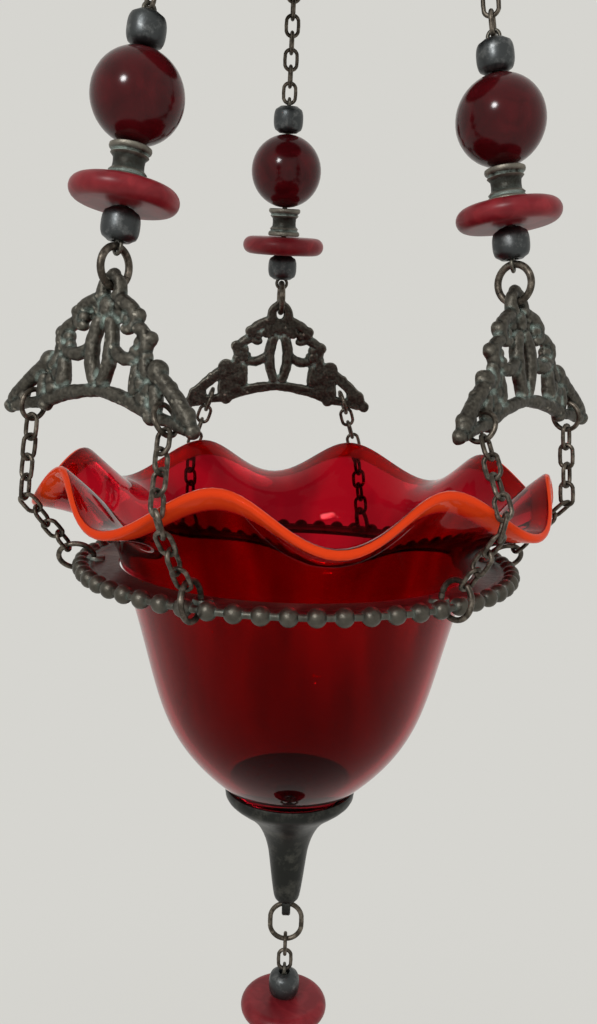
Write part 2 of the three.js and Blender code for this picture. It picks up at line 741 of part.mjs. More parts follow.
// Pendant: two links, then a headed pin with an eye, a barrel bead, a disc and an end bead
const pendantStart = finialRingMiddle - finialRingDrop + hookReach(finialRingWire);
const pendantChainFoot = pendantStart - pendantLinkCount * pendantLinkPitch;
const pendantEyeMiddle = pendantChainFoot - linkHalf + linkBite / 2;
const pendantBeadTop = pendantEyeMiddle - upperEyeOuter - clearance + barrelRecessDepth;
const pendantDiscMiddle = pendantBeadTop - topBarrelHeight - clearance - discThickness / 2;
const endBeadTop = pendantDiscMiddle - discThickness / 2 - clearance;
const pinHeadTop = endBeadTop - topBarrelHeight - clearance;

function headedPin() {
  const shank = pinShank(pinHeadTop - pinHeadHeight / 2, pendantEyeMiddle - upperEyeRadius);
  const eye = wireEye(upperEyeRadius).rotateZ(Math.PI / 2).translate(0, 0, pendantEyeMiddle);
  const head = pinHeadDiameter / 2;
  const rivet = [
    [0, -pinHeadHeight],
    [pinRadius, -pinHeadHeight],
    [head, -pinHeadHeight / 2],
    [head, 0],
    [0, 0],
  ];
  return joined([shank, eye, turned(rivet, 8).translate(0, 0, pinHeadTop)]);
}

// Crown where the three strings meet, and the ring that it hangs by
const crownEyePlace = onString(crownEyeMiddle);
const crownEdge = crownEyePlace.x + crownBrim;
const crownFoot = crownEyePlace.z + crownTabWidth / 2;
const crownTop = crownFoot + crownRise;
const hangingHole = crownTop + hangingTabRise;
const hangingMiddle = hangingHole + (hangingRingOuter - hangingRingWire) / 2;
const hookSeat = hangingMiddle + hangingRingOuter / 2 - hangingRingWire;

function crown() {
  const outside = new THREE.QuadraticBezierCurve(
    new THREE.Vector2(crownEdge, crownFoot),
    new THREE.Vector2(crownEdge / 2, crownTop),
    new THREE.Vector2(0, crownTop),
  ).getPoints(4).map((point) => [point.x, point.y]);
  const inside = outside.map(([radius, height]) => [radius, height - crownThickness]).reverse();
  const parts = [turned([...inside, ...outside], 18)];
  const cutters = [];
  strings.forEach(({ stringAngle }) => {
    const tab = roundTab(crownTabWidth, crownTabThickness, crownTabWidth / 2 + crownThickness / 2);
    parts.push(tab.translate(crownEyePlace.x, 0, crownEyePlace.z).rotateZ(stringAngle));
    const hole = new THREE.CylinderGeometry(linkHoleRadius, linkHoleRadius, crownTabWidth, 8);
    cutters.push(hole.translate(crownEyePlace.x, 0, crownEyePlace.z).rotateZ(stringAngle));
  });
  const hangingTab = roundTab(hangingTabWidth, hangingTabThickness, hangingTabRise + crownThickness / 2);
  parts.push(hangingTab.rotateX(Math.PI).translate(0, 0, hangingHole));
  cutters.push(hangingLoop(swingClearance).translate(0, 0, hangingMiddle));
  return cut(joined(parts), cutters);
}

// Assembly
const lamp = new THREE.Group();
lamp.position.z = -hookSeat;
const hangingRing = piece('hanging_ring', hangingLoop(0), patina);
hangingRing.position.z = hangingMiddle;
lamp.add(hangingRing, piece('crown', crown(), patina));
strings.forEach((string) => lamp.add(stringPieces(string)));
lamp.add(piece('beaded_ring', beadedRing(), patina));
lamp.add(piece('glass_bowl', glassBowl(), rubyGlass));
lamp.add(piece('finial_cup', finialCup(), gunmetal));
const finialRing = piece('finial_ring', finialRingLoop(0), chainMetal);
finialRing.position.z = finialRingMiddle;
lamp.add(finialRing);
const pendantPath = [vec(0, 0, pendantStart), vec(0, 0, pendantChainFoot)];
const pendantRun = chainRun(pendantPath, vec(0, 1, 0), vec(1, 0, 0), pendantLinkCount);
lamp.add(piece('pendant_chain', pendantRun, chainMetal));
lamp.add(piece('pendant_pin', headedPin(), patina));
const pendantBead = piece('pendant_bead', barrelBead(topBarrelHeight, upperEyeOuter, 0), gunmetal);
pendantBead.position.z = pendantBeadTop;
const pendantDisc = piece('pendant_disc', discBead(), rubyBead);
pendantDisc.position.z = pendantDiscMiddle;
const pendantEndBead = piece('pendant_end_bead', barrelBead(topBarrelHeight, 0, 0), gunmetal);
pendantEndBead.position.z = endBeadTop;
lamp.add(pendantBead, pendantDisc, pendantEndBead);

export default lamp;
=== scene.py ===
# Hanging oil lamp: ruby glass bowl in a beaded ring, three beaded strings, cast brackets and a finial

import json
import math

import bmesh
import bpy
from mathutils import Matrix, Vector


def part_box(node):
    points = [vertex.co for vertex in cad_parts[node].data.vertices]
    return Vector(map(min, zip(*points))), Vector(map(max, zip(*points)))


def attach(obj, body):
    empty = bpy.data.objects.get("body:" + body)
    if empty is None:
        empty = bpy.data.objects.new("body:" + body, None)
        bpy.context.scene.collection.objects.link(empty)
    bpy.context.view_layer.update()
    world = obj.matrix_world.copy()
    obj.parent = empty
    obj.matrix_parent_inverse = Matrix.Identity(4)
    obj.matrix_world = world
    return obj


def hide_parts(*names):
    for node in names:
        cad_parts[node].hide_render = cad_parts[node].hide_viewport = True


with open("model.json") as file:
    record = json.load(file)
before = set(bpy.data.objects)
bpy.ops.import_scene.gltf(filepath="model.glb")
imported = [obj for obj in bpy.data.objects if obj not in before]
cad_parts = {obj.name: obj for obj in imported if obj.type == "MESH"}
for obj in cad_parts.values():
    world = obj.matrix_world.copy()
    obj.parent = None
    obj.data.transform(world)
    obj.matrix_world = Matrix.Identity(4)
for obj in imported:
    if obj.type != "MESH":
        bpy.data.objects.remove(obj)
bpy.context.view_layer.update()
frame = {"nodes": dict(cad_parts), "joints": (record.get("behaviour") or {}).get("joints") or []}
mm = 0.001
degree = math.pi / 180

print("frame loaded")

# Camera at the photograph's viewing angle
cameraSettings = {
    "place": (3.97 * mm, -290.17 * mm, -174.49 * mm),
    "focalPixels": 943.1,
    "pictureHeight": 1024,
    "pitch": 8.93 * degree,
    "roll": 1.69 * degree,
    "yaw": -0.74 * degree,
    "sensor": 36.0,
}


def makeCamera():
    s = cameraSettings
    forward = Vector((math.sin(s["yaw"]) * math.cos(s["pitch"]), math.cos(s["yaw"]) * math.cos(s["pitch"]),
                      -math.sin(s["pitch"])))
    level = Vector((math.cos(s["yaw"]), -math.sin(s["yaw"]), 0))
    above = level.cross(forward)
    right = level * math.cos(s["roll"]) + above * math.sin(s["roll"])
    up = above * math.cos(s["roll"]) - level * math.sin(s["roll"])
    bpy.ops.object.camera_add(location=s["place"])
    camera = bpy.context.object
    camera.name = "viewCamera"
    camera.rotation_euler = Matrix((right, up, -forward)).transposed().to_euler()
    camera.data.sensor_width = s["sensor"]
    camera.data.lens = s["focalPixels"] / s["pictureHeight"] * s["sensor"]
    camera.data.clip_start = 10 * mm
    bpy.context.scene.camera = camera


# Modelling by hand: each of these does what a few clicks do


def deselectAll():
    bpy.ops.object.select_all(action="DESELECT")


def selectOnly(*pieces):
    deselectAll()
    for piece in pieces:
        piece.select_set(True)
    bpy.context.view_layer.objects.active = pieces[0]


def editMode(on):
    bpy.ops.object.mode_set(mode="EDIT" if on else "OBJECT")


# Selects, in edit mode, the vertices or edges that pass a test
def pick(kind, test):
    bpy.ops.mesh.select_mode(type=kind)
    bpy.ops.mesh.select_all(action="DESELECT")
    edited = bmesh.from_edit_mesh(bpy.context.object.data)
    parts = {"VERT": edited.verts, "EDGE": edited.edges}[kind]
    for part in parts:
        part.select_set(test(part))
    edited.select_flush_mode()
    bmesh.update_edit_mesh(bpy.context.object.data)


def applyPlace():
    bpy.ops.object.transform_apply(location=True, rotation=True, scale=True)


def deletePieces(*pieces):
    selectOnly(*pieces)
    bpy.ops.object.delete()


def newPiece(name):
    piece = bpy.context.object
    piece.name = name
    piece.data.name = name
    return piece


def copyPiece(source, name):
    selectOnly(source)
    bpy.ops.object.duplicate()
    return newPiece(name)


def placePiece(piece, matrix):
    selectOnly(piece)
    piece.matrix_world = matrix
    applyPlace()
    return piece


def joinPieces(parts, name):
    selectOnly(*parts)
    if len(parts) > 1:
        bpy.ops.object.join()
    return newPiece(name)


def addModifier(piece, kind, **settings):
    selectOnly(piece)
    bpy.ops.object.modifier_add(type=kind)
    modifier = piece.modifiers[-1]
    for key, value in settings.items():
        setattr(modifier, key, value)
    bpy.ops.object.modifier_apply(modifier=modifier.name)


def smoothByAngle(piece, angle):
    selectOnly(piece)
    bpy.ops.object.shade_smooth_by_angle(angle=angle * degree)


def faceOutwards(piece):
    selectOnly(piece)
    editMode(True)
    bpy.ops.mesh.select_all(action="SELECT")
    bpy.ops.mesh.remove_doubles(threshold=0.002 * mm)
    bpy.ops.mesh.normals_make_consistent(inside=False)
    editMode(False)


# Turned piece about Z: a circle drawn out through steps of radius and height in mm, and shaded smooth
# where its faces meet at less than an angle
def turnPiece(name, steps, sides, bored, smooth=0):
    deselectAll()
    radius, height = steps[0]
    bpy.ops.mesh.primitive_circle_add(vertices=sides, radius=radius * mm, location=(0, 0, height * mm))
    piece = newPiece(name)
    applyPlace()
    editMode(True)
    bpy.ops.mesh.select_mode(type="EDGE")
    bpy.ops.mesh.select_all(action="SELECT")
    for nextRadius, nextHeight in steps[1:]:
        rise = (nextHeight - height) * mm
        bpy.ops.mesh.extrude_edges_move(TRANSFORM_OT_translate={"value": (0, 0, rise)})
        share = nextRadius / radius
        bpy.ops.transform.resize(value=(share, share, 1), center_override=(0, 0, nextHeight * mm))
        radius, height = nextRadius, nextHeight
    pick("EDGE", lambda edge: edge.is_boundary)
    if bored:
        bpy.ops.mesh.bridge_edge_loops()
    else:
        bpy.ops.mesh.fill_holes(sides=0)
    editMode(False)
    faceOutwards(piece)
    if smooth:
        smoothByAngle(piece, smooth)
    return piece


def arcSteps(centreRadius, centreHeight, radius, start, end, count):
    turns = [(start + (end - start) * k / count) * degree for k in range(count + 1)]
    return [(centreRadius + radius * math.cos(t), centreHeight + radius * math.sin(t)) for t in turns]


# Ring of round wire about Y, with a saw cut at its foot
def wireRing(name, outer, wire, sides, segments, sawCut):
    deselectAll()
    middle = (outer - wire) / 2
    start = (-90 + sawCut / 2) * degree
    cutFace = Vector((math.cos(start), 0, math.sin(start))) * middle * mm
    bpy.ops.mesh.primitive_circle_add(vertices=sides, radius=wire / 2 * mm, fill_type="NGON",
                                      location=cutFace)
    ring = newPiece(name)
    ring.rotation_euler = (0, -start, 0)
    applyPlace()
    editMode(True)
    bpy.ops.mesh.select_all(action="SELECT")
    bpy.ops.mesh.spin(steps=segments, angle=(360 - sawCut) * degree, center=(0, 0, 0), axis=(0, -1, 0))
    editMode(False)
    faceOutwards(ring)
    smoothByAngle(ring, 50)
    return ring


# Places read from the frame, in metres


def nodePoints(node):
    return [vertex.co.copy() for vertex in frame["nodes"][node].data.vertices]


def middleOf(points):
    return sum(points, Vector((0, 0, 0))) / len(points)


# Middle and axis of a round ring of the frame, and its outer diameter in mm
def ringPlace(node):
    places = {tuple(round(value, 6) for value in point) for point in nodePoints(node)}
    points = [Vector(place) for place in places]
    middle = middleOf(points)
    spread = Matrix(((0, 0, 0), (0, 0, 0), (0, 0, 0)))
    for point in points:
        away = point - middle
        for row in range(3):
            for column in range(3):
                spread[row][column] += away[row] * away[column]
    # The axis is where the points spread least: each product with the inverse turns a vector towards it
    inverse = spread.inverted()
    axis, turnsNeeded = Vector((0.3, 0.5, 0.8)), 60
    for _ in range(turnsNeeded):
        axis = (inverse @ axis).normalized()
    return middle, axis, 2 * max((point - middle).length for point in points) / mm


# How far a node reaches along an axis through a place, and out from it
def reachOn(node, place, axis):
    points = nodePoints(node)
    heights = [(point - place).dot(axis) for point in points]
    widest = max((point - place - axis * height).length for point, height in zip(points, heights))
    return min(heights), max(heights), widest


def jointNamed(name):
    joint = next(joint for joint in frame["joints"] if joint["name"] == name)
    return Vector(joint["pos_m"]), Vector(joint["axis"]).normalized()


# Frame with Z along, X as near across as can be, at a place
def frameAt(place, across, along):
    z = along.normalized()
    x = (across - z * across.dot(z)).normalized()
    y = z.cross(x)
    turned = Matrix((x, y, z)).transposed().to_4x4()
    turned.translation = place
    return turned


# Materials: each adds its nodes with one helper


def colour(code):
    values = [int(code[k:k + 2], 16) / 255 for k in (1, 3, 5)]
    linear = [v / 12.92 if v <= 0.04045 else ((v + 0.055) / 1.055) ** 2.4 for v in values]
    return (*linear, 1.0)


# Adds a node, sets it, and gives each input its value or the socket that feeds it. The stops of a ramp
# are places with a grey value each.
def addNode(tree, kind, settings=None, inputs=None):
    node = tree.nodes.new(kind)
    for key, value in (settings or {}).items():
        if key == "stops":
            for element, (position, grey) in zip(node.color_ramp.elements, value):
                element.position = position
                element.color = (grey, grey, grey, 1)
        else:
            setattr(node, key, value)
    for key, value in (inputs or {}).items():
        if isinstance(value, bpy.types.NodeSocket):
            tree.links.new(value, node.inputs[key])
        else:
            node.inputs[key].default_value = value
    return node


def newMaterial(name):
    material = bpy.data.materials.new(name)
    material.use_nodes = True
    tree = material.node_tree
    tree.nodes.clear()
    place = addNode(tree, "ShaderNodeTexCoord").outputs["Object"]
    return material, tree, place


# Scale of a pattern whose grains have this size in mm
def perMm(size):
    return 1 / (size * mm)


# Old cast bronze: how far in a hollow counts, in mm, and from where to where on each measure the pale
# edges (rubbed wear with a painted highlight), the hollows and the patches of verdigris run
bronzeSkin = {
    "lumps": {"Detail": 5.0, "Roughness": 0.6},
    "patches": {"Detail": 4.0, "Roughness": 0.65},
    "hollowReach": 1.6,
    "wearAndHighlightStops": [(0.49, 0.0), (0.57, 1.0)],
    "hollowStops": [(0.55, 1.0), (1.0, 0.0)],
    "patchStops": [(0.37, 0.0), (0.54, 1.0)],
    "metallic": 0.85,
    "lumpRelief": 0.7,
    "lumpDepth": 0.25,
    "pitRelief": 0.35,
    "pitDepth": 0.08,
}
# The brackets: a dark brown skin, paler on the high places as rubbed wear and painted highlight, and dull
# green in the hollows
castBronzeLook = {
    **bronzeSkin,
    "dark": "#2A2722",
    "worn": "#B0AA9C",
    "verdigris": "#A8BBB2",
    "lumpSize": 2.0,
    "pitSize": 0.45,
    "patchSize": 5.0,
    "roughLow": 0.32,
    "roughHigh": 0.66,
}
# The beaded ring and the pins are handled more: darker and smoother
ringBronzeLook = {
    **bronzeSkin,
    "dark": "#2C2A26",
    "worn": "#7C776C",
    "verdigris": "#66736B",
    "lumpSize": 2.2,
    "pitSize": 0.5,
    "patchSize": 7.0,
    "roughLow": 0.3,
    "roughHigh": 0.55,
}


def castBronze(name, look):
    material, tree, place = newMaterial(name)
    lumps = addNode(tree, "ShaderNodeTexNoise", None,
                    {"Vector": place, "Scale": perMm(look["lumpSize"]), **look["lumps"]})
    patches = addNode(tree, "ShaderNodeTexNoise", None,
                      {"Vector": place, "Scale": perMm(look["patchSize"]), **look["patches"]})
    pits = addNode(tree, "ShaderNodeTexVoronoi", None, {"Vector": place, "Scale": perMm(look["pitSize"])})
    hollow = addNode(tree, "ShaderNodeAmbientOcclusion", {"samples": 6, "only_local": True},
                     {"Distance": look["hollowReach"] * mm})
    geometry = addNode(tree, "ShaderNodeNewGeometry")
    # The pale colour on the high, pointy places is rubbed wear and also a painted highlight
    edge = addNode(tree, "ShaderNodeValToRGB", {"stops": look["wearAndHighlightStops"]},
                   {"Fac": geometry.outputs["Pointiness"]})
    worn = addNode(tree, "ShaderNodeMath", {"operation": "MULTIPLY"},
                   {0: edge.outputs["Color"], 1: lumps.outputs["Fac"]})
    metal = addNode(tree, "ShaderNodeMix", {"data_type": "RGBA"},
                    {"Factor": worn.outputs["Value"], 6: colour(look["dark"]), 7: colour(look["worn"])})
    shade = addNode(tree, "ShaderNodeValToRGB", {"stops": look["hollowStops"]},
                    {"Fac": hollow.outputs["AO"]})
    patchEdge = addNode(tree, "ShaderNodeValToRGB", {"stops": look["patchStops"]},
                        {"Fac": patches.outputs["Fac"]})
    green = addNode(tree, "ShaderNodeMath", {"operation": "MULTIPLY"},
                    {0: shade.outputs["Color"], 1: patchEdge.outputs["Color"]})
    skin = addNode(tree, "ShaderNodeMix", {"data_type": "RGBA"},
                   {"Factor": green.outputs["Value"], 6: metal.outputs[2], 7: colour(look["verdigris"])})
    rough = addNode(tree, "ShaderNodeMapRange", None,
                    {"Value": lumps.outputs["Fac"], "To Min": look["roughLow"], "To Max": look["roughHigh"]})
    bare = addNode(tree, "ShaderNodeMath", {"operation": "SUBTRACT"},
                   {0: look["metallic"], 1: green.outputs["Value"]})
    clamped = addNode(tree, "ShaderNodeMath", {"operation": "MAXIMUM"}, {0: bare.outputs["Value"], 1: 0.0})
    lumpBump = addNode(tree, "ShaderNodeBump", None,
                       {"Strength": look["lumpRelief"], "Distance": look["lumpDepth"] * mm,
                        "Height": lumps.outputs["Fac"]})
    pitBump = addNode(tree, "ShaderNodeBump", None,
                      {"Strength": look["pitRelief"], "Distance": look["pitDepth"] * mm,
                       "Height": pits.outputs["Distance"], "Normal": lumpBump.outputs["Normal"]})
    shader = addNode(tree, "ShaderNodeBsdfPrincipled", None, {
        "Base Color": skin.outputs[2],
        "Roughness": rough.outputs["Result"],
        "Metallic": clamped.outputs["Value"],
        "Normal": pitBump.outputs["Normal"],
    })
    addNode(tree, "ShaderNodeOutputMaterial", None, {"Surface": shader.outputs["BSDF"]})
    return material


# Blackened brass, satin with paler rubbed places: a hard grey skin on the beads and a nearly black one
# on the cup
brassSkin = {
    "patches": {"Detail": 6.0, "Roughness": 0.7},
    "fine": {"Detail": 3.0},
    "rubStops": [(0.5, 0.0), (0.75, 0.8)],
    "metallic": 0.9,
    "roughLow": 0.3,
    "roughHigh": 0.5,
    "fineRelief": 0.25,
    "fineDepth": 0.06,
}
beadBrassLook = {
    **brassSkin,
    "skin": "#474A4B",
    "rubbed": "#8A8C8C",
    "patchSize": 3.5,
    "fineSize": 0.6,
}
cupBrassLook = {
    **brassSkin,
    "skin": "#2A2B29",
    "rubbed": "#5C5B55",
    "patchSize": 6.0,
    "fineSize": 0.9,
}
# Old brass wire gone brown: dull, with a little sheen where it is rubbed
wornWireLook = {
    "patches": {"Detail": 5.0, "Roughness": 0.65},
    "fine": {"Detail": 2.0},
    "rubStops": [(0.45, 0.0), (0.72, 0.75)],
    "metallic": 0.85,
    "roughLow": 0.34,
    "roughHigh": 0.6,
    "fineRelief": 0.3,
    "fineDepth": 0.05,
    "skin": "#453F37",
    "rubbed": "#9A9083",
    "patchSize": 2.2,
    "fineSize": 0.35,
}


def rubbedMetal(name, look):
    material, tree, place = newMaterial(name)
    patches = addNode(tree, "ShaderNodeTexNoise", None,
                      {"Vector": place, "Scale": perMm(look["patchSize"]), **look["patches"]})
    fine = addNode(tree, "ShaderNodeTexNoise", None,
                   {"Vector": place, "Scale": perMm(look["fineSize"]), **look["fine"]})
    worn = addNode(tree, "ShaderNodeValToRGB", {"stops": look["rubStops"]}, {"Fac": patches.outputs["Fac"]})
    skin = addNode(tree, "ShaderNodeMix", {"data_type": "RGBA"},
                   {"Factor": worn.outputs["Color"], 6: colour(look["skin"]), 7: colour(look["rubbed"])})
    rough = addNode(tree, "ShaderNodeMapRange", None,
                    {"Value": fine.outputs["Fac"], "To Min": look["roughLow"], "To Max": look["roughHigh"]})
    bump = addNode(tree, "ShaderNodeBump", None,
                   {"Strength": look["fineRelief"], "Distance": look["fineDepth"] * mm,
                    "Height": fine.outputs["Fac"]})
    shader = addNode(tree, "ShaderNodeBsdfPrincipled", None, {
        "Base Color": skin.outputs[2],
        "Metallic": look["metallic"],
        "Roughness": rough.outputs["Result"],
        "Normal": bump.outputs["Normal"],
    })
    addNode(tree, "ShaderNodeOutputMaterial", None, {"Surface": shader.outputs["BSDF"]})
    return material


# Ruby bead glass: pressed, deep red and nearly opaque, with faint swirls. Light reaches a little way
# under the skin, red furthest, which the reach gives for each colour in mm.
beadGlass = {
    "swirls": {"Detail": 3.0, "Distortion": 1.2},
    "paleStops": [(0.4, 0.0), (0.7, 0.8)],
    "ior": 1.4,
    "gloss": 0.35,
    "underSkin": 0.15,
    "reach": (3.0, 0.6, 0.6),
    "swirlRelief": 0.12,
    "swirlDepth": 0.3,
}
# The balls are polished to a clear gloss, the discs are a little paler and worn to a soft sheen
rubyBallLook = {**beadGlass, "deep": "#3A060A", "pale": "#520C12", "swirlSize": 9.0, "roughness": 0.16}
rubyDiscLook = {**beadGlass, "deep": "#701820", "pale": "#8E2A30", "swirlSize": 7.0, "roughness": 0.36}


def rubyBead(name, look):
    material, tree, place = newMaterial(name)
    swirls = addNode(tree, "ShaderNodeTexNoise", None,
                     {"Vector": place, "Scale": perMm(look["swirlSize"]), **look["swirls"]})
    paler = addNode(tree, "ShaderNodeValToRGB", {"stops": look["paleStops"]}, {"Fac": swirls.outputs["Fac"]})
    body = addNode(tree, "ShaderNodeMix", {"data_type": "RGBA"},
                   {"Factor": paler.outputs["Color"], 6: colour(look["deep"]), 7: colour(look["pale"])})
    ripple = addNode(tree, "ShaderNodeBump", None,
                     {"Strength": look["swirlRelief"], "Distance": look["swirlDepth"] * mm,
                      "Height": swirls.outputs["Fac"]})
    shader = addNode(tree, "ShaderNodeBsdfPrincipled", None, {
        "Base Color": body.outputs[2],
        "Roughness": look["roughness"],
        "IOR": look["ior"],
        "Specular IOR Level": look["gloss"],
        "Subsurface Weight": look["underSkin"],
        "Subsurface Radius": [reach * mm for reach in look["reach"]],
        "Subsurface Scale": 1.0,
        "Normal": ripple.outputs["Normal"],
    })
    addNode(tree, "ShaderNodeOutputMaterial", None, {"Surface": shader.outputs["BSDF"]})
    return material


# Selenium ruby glass, mould blown: clear and deep wine red, with an opaque orange band struck along
# the outside of the lip, where the glass was heated again. Sizes are in mm, and the two heights are
# those of the frame.
rubyGlassLook = {
    "ruby": "#B80E20",
    "rubyDeep": "#860A18",
    "streakSize": 17.0,
    "streakLength": 10.0,
    "streakStops": [(0.42, 0.0), (0.6, 0.85)],
    "footHeight": -307.0,
    "darkHeight": -250.0,
    "band": "#DC4019",
    "bandEdge": "#B81F12",
    "bandDepth": 5.6,
    "bandFade": 0.5,
    "bandClear": 0.05,
    "sheen": "#FF6E74",
    "ior": 1.22,
    "gloss": 0.35,
    "roughness": 0.02,
    "rippleSize": 26.0,
    "rippleRelief": 0.15,
    "rippleDepth": 0.6,
}


def rubyGlass():
    look = rubyGlassLook
    material, tree, place = newMaterial("rubyGlass")
    depth, fade = look["bandDepth"], look["bandFade"]
    fromLip = addNode(tree, "ShaderNodeAttribute", {"attribute_name": "fromLip"}).outputs["Fac"]
    band = addNode(tree, "ShaderNodeMapRange", None,
                   {"Value": fromLip, "From Min": depth - fade, "From Max": depth + fade,
                    "To Min": 1.0, "To Max": 0.0})
    bandShare = addNode(tree, "ShaderNodeMapRange", None,
                        {"Value": fromLip, "From Min": depth * 0.5, "From Max": depth})
    orange = addNode(tree, "ShaderNodeMix", {"data_type": "RGBA"},
                     {"Factor": bandShare.outputs["Result"], 6: colour(look["band"]),
                      7: colour(look["bandEdge"])})
    # Slow upright streaks of thicker glass, and a deeper colour towards the foot: partly the thicker glass
    # there, partly painted shade
    drawn = addNode(tree, "ShaderNodeMapping", None,
                    {"Vector": place, "Scale": (1, 1, 1 / look["streakLength"])})
    streaks = addNode(tree, "ShaderNodeTexNoise", None,
                      {"Vector": drawn.outputs["Vector"], "Scale": perMm(look["streakSize"]), "Detail": 2.0})
    thick = addNode(tree, "ShaderNodeValToRGB", {"stops": look["streakStops"]},
                    {"Fac": streaks.outputs["Fac"]})
    axes = addNode(tree, "ShaderNodeSeparateXYZ", None, {"Vector": place})
    # Painted shade together with the thicker glass: the colour deepens from the dark height down to the foot
    low = addNode(tree, "ShaderNodeMapRange", {"interpolation_type": "SMOOTHSTEP"},
                  {"Value": axes.outputs["Z"], "From Min": look["footHeight"] * mm,
                   "From Max": look["darkHeight"] * mm, "To Min": 1.0, "To Max": 0.0})
    thickGlassAndFootShade = addNode(tree, "ShaderNodeMath", {"operation": "MAXIMUM"},
                     {0: thick.outputs["Color"], 1: low.outputs["Result"]})
    wall = addNode(tree, "ShaderNodeMix", {"data_type": "RGBA"},
                   {"Factor": thickGlassAndFootShade.outputs["Value"], 6: colour(look["ruby"]), 7: colour(look["rubyDeep"])})
    tint = addNode(tree, "ShaderNodeMix", {"data_type": "RGBA"},
                   {"Factor": band.outputs["Result"], 6: wall.outputs[2], 7: orange.outputs[2]})
    clear = addNode(tree, "ShaderNodeMapRange", None,
                    {"Value": band.outputs["Result"], "To Min": 1.0, "To Max": look["bandClear"]})
    ripple = addNode(tree, "ShaderNodeTexNoise", None,
                     {"Vector": place, "Scale": perMm(look["rippleSize"]), "Detail": 1.0})
    bump = addNode(tree, "ShaderNodeBump", None,
                   {"Strength": look["rippleRelief"], "Distance": look["rippleDepth"] * mm,
                    "Height": ripple.outputs["Fac"]})
    shader = addNode(tree, "ShaderNodeBsdfPrincipled", None, {
        "Base Color": tint.outputs[2],
        "Transmission Weight": clear.outputs["Result"],
        "Roughness": look["roughness"],
        "IOR": look["ior"],
        "Specular IOR Level": look["gloss"],
        "Specular Tint": colour(look["sheen"]),
        "Normal": bump.outputs["Normal"],
    })
    addNode(tree, "ShaderNodeOutputMaterial", None, {"Surface": shader.outputs["BSDF"]})
    return material


# Pale plaster of the room: the floor under the lamp is lit and takes its shadow, and further out it goes
# over into the plain tone of the wall. The distances are in metres.
plasterLook = {"wall": "#D6D5D0", "floor": "#DEDCD6", "roughness": 0.9, "near": 0.25, "far": 0.8}


# 1 for the rays that show the room: those of the camera, and those seen in metal or through glass
def shownRays(tree):
    path = addNode(tree, "ShaderNodeLightPath")
    seen = addNode(tree, "ShaderNodeMath", {"operation": "MAXIMUM"},
                   {0: path.outputs["Is Camera Ray"], 1: path.outputs["Is Transmission Ray"]})
    shown = addNode(tree, "ShaderNodeMath", {"operation": "MAXIMUM"},
                    {0: seen.outputs["Value"], 1: path.outputs["Is Glossy Ray"]})
    return shown.outputs["Value"]


def palePlaster():
    look = plasterLook
    material, tree, place = newMaterial("palePlaster")
    away = addNode(tree, "ShaderNodeVectorMath", {"operation": "LENGTH"}, {0: place})
    out = addNode(tree, "ShaderNodeMapRange", {"interpolation_type": "SMOOTHSTEP"},
                  {"Value": away.outputs["Value"], "From Min": look["near"], "From Max": look["far"]})
    share = addNode(tree, "ShaderNodeMath", {"operation": "MULTIPLY"},
                    {0: out.outputs["Result"], 1: shownRays(tree)})
    plain = addNode(tree, "ShaderNodeEmission", None, {"Color": colour(look["wall"]), "Strength": 1.0})
    shader = addNode(tree, "ShaderNodeBsdfPrincipled", None,
                     {"Base Color": colour(look["floor"]), "Roughness": look["roughness"]})
    both = addNode(tree, "ShaderNodeMixShader", None,
                   {0: share.outputs["Value"], 1: shader.outputs["BSDF"], 2: plain.outputs["Emission"]})
    addNode(tree, "ShaderNodeOutputMaterial", None, {"Surface": both.outputs["Shader"]})
    return material


def finishPiece(piece, body, slot, material, *nodes):
    piece.data.materials.clear()
    piece.data.materials.append(material)
    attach(piece, body)
    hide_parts(*nodes)


makeCamera()
bronze = castBronze("bracketBronze", castBronzeLook)
ringBronze = castBronze("ringBronze", ringBronzeLook)
brass = rubbedMetal("beadBrass", beadBrassLook)
cupBrass = rubbedMetal("cupBrass", cupBrassLook)
wire = rubbedMetal("wornWire", wornWireLook)
ballGlass = rubyBead("rubyBall", rubyBallLook)
discGlass = rubyBead("rubyDisc", rubyDiscLook)
bowlGlass = rubyGlass()
print("camera and materials made")

# Beads, modelled once about Z with their middle at the origin, sizes in mm
beadSizes = {
    "sides": 40,
    "ballBore": 2.4,
    "discBore": 2.6,
    "barrelEnd": 7.0,
    "barrelBore": 3.2,
    "spoolWaist": 8.2,
}


def ballBead(radius):
    s = beadSizes
    bore = s["ballBore"] / 2
    reach = math.degrees(math.acos((bore + 0.5) / radius))
    rim = radius * math.sin(reach * degree)
    steps = [(bore, -rim + 0.6), (bore, -rim + 0.1)]
    steps += arcSteps(0, 0, radius, -reach, reach, 22)
    steps += [(bore, rim - 0.1), (bore, rim - 0.6)]
    return turnPiece("ballMaster", steps, s["sides"], True, 35)


def discBead(thickness, radius):
    s = beadSizes
    half, bore = thickness / 2, s["discBore"] / 2
    flat = radius - half
    steps = [(bore, -half + 0.7), (bore + 0.5, -half + 0.15), (bore + 1.2, -half)]
    steps += [(flat * 0.7, -half)]
    steps += arcSteps(flat, 0, half, -90, 90, 12)
    steps += [(flat * 0.7, half), (bore + 1.2, half), (bore + 0.5, half - 0.15), (bore, half - 0.7)]
    return turnPiece("discMaster", steps, s["sides"] + 16, True, 35)


def barrelBead(name, height, belly):
    s = beadSizes
    half, end, bore = height / 2, s["barrelEnd"] / 2, s["barrelBore"] / 2
    steps = [(bore, -half + 0.5), (bore + 0.3, -half), (end - 0.5, -half), (end - 0.05, -half + 0.35)]
    for k in range(1, 12):
        share = -1 + k / 6
        steps.append((end + (belly - end) * math.sqrt(max(0, 1 - abs(share) ** 2.6)), share * (half - 0.35)))
    steps += [(end - 0.05, half - 0.35), (end - 0.5, half), (bore + 0.3, half), (bore, half - 0.5)]
    return turnPiece(name, steps, s["sides"], True, 40)


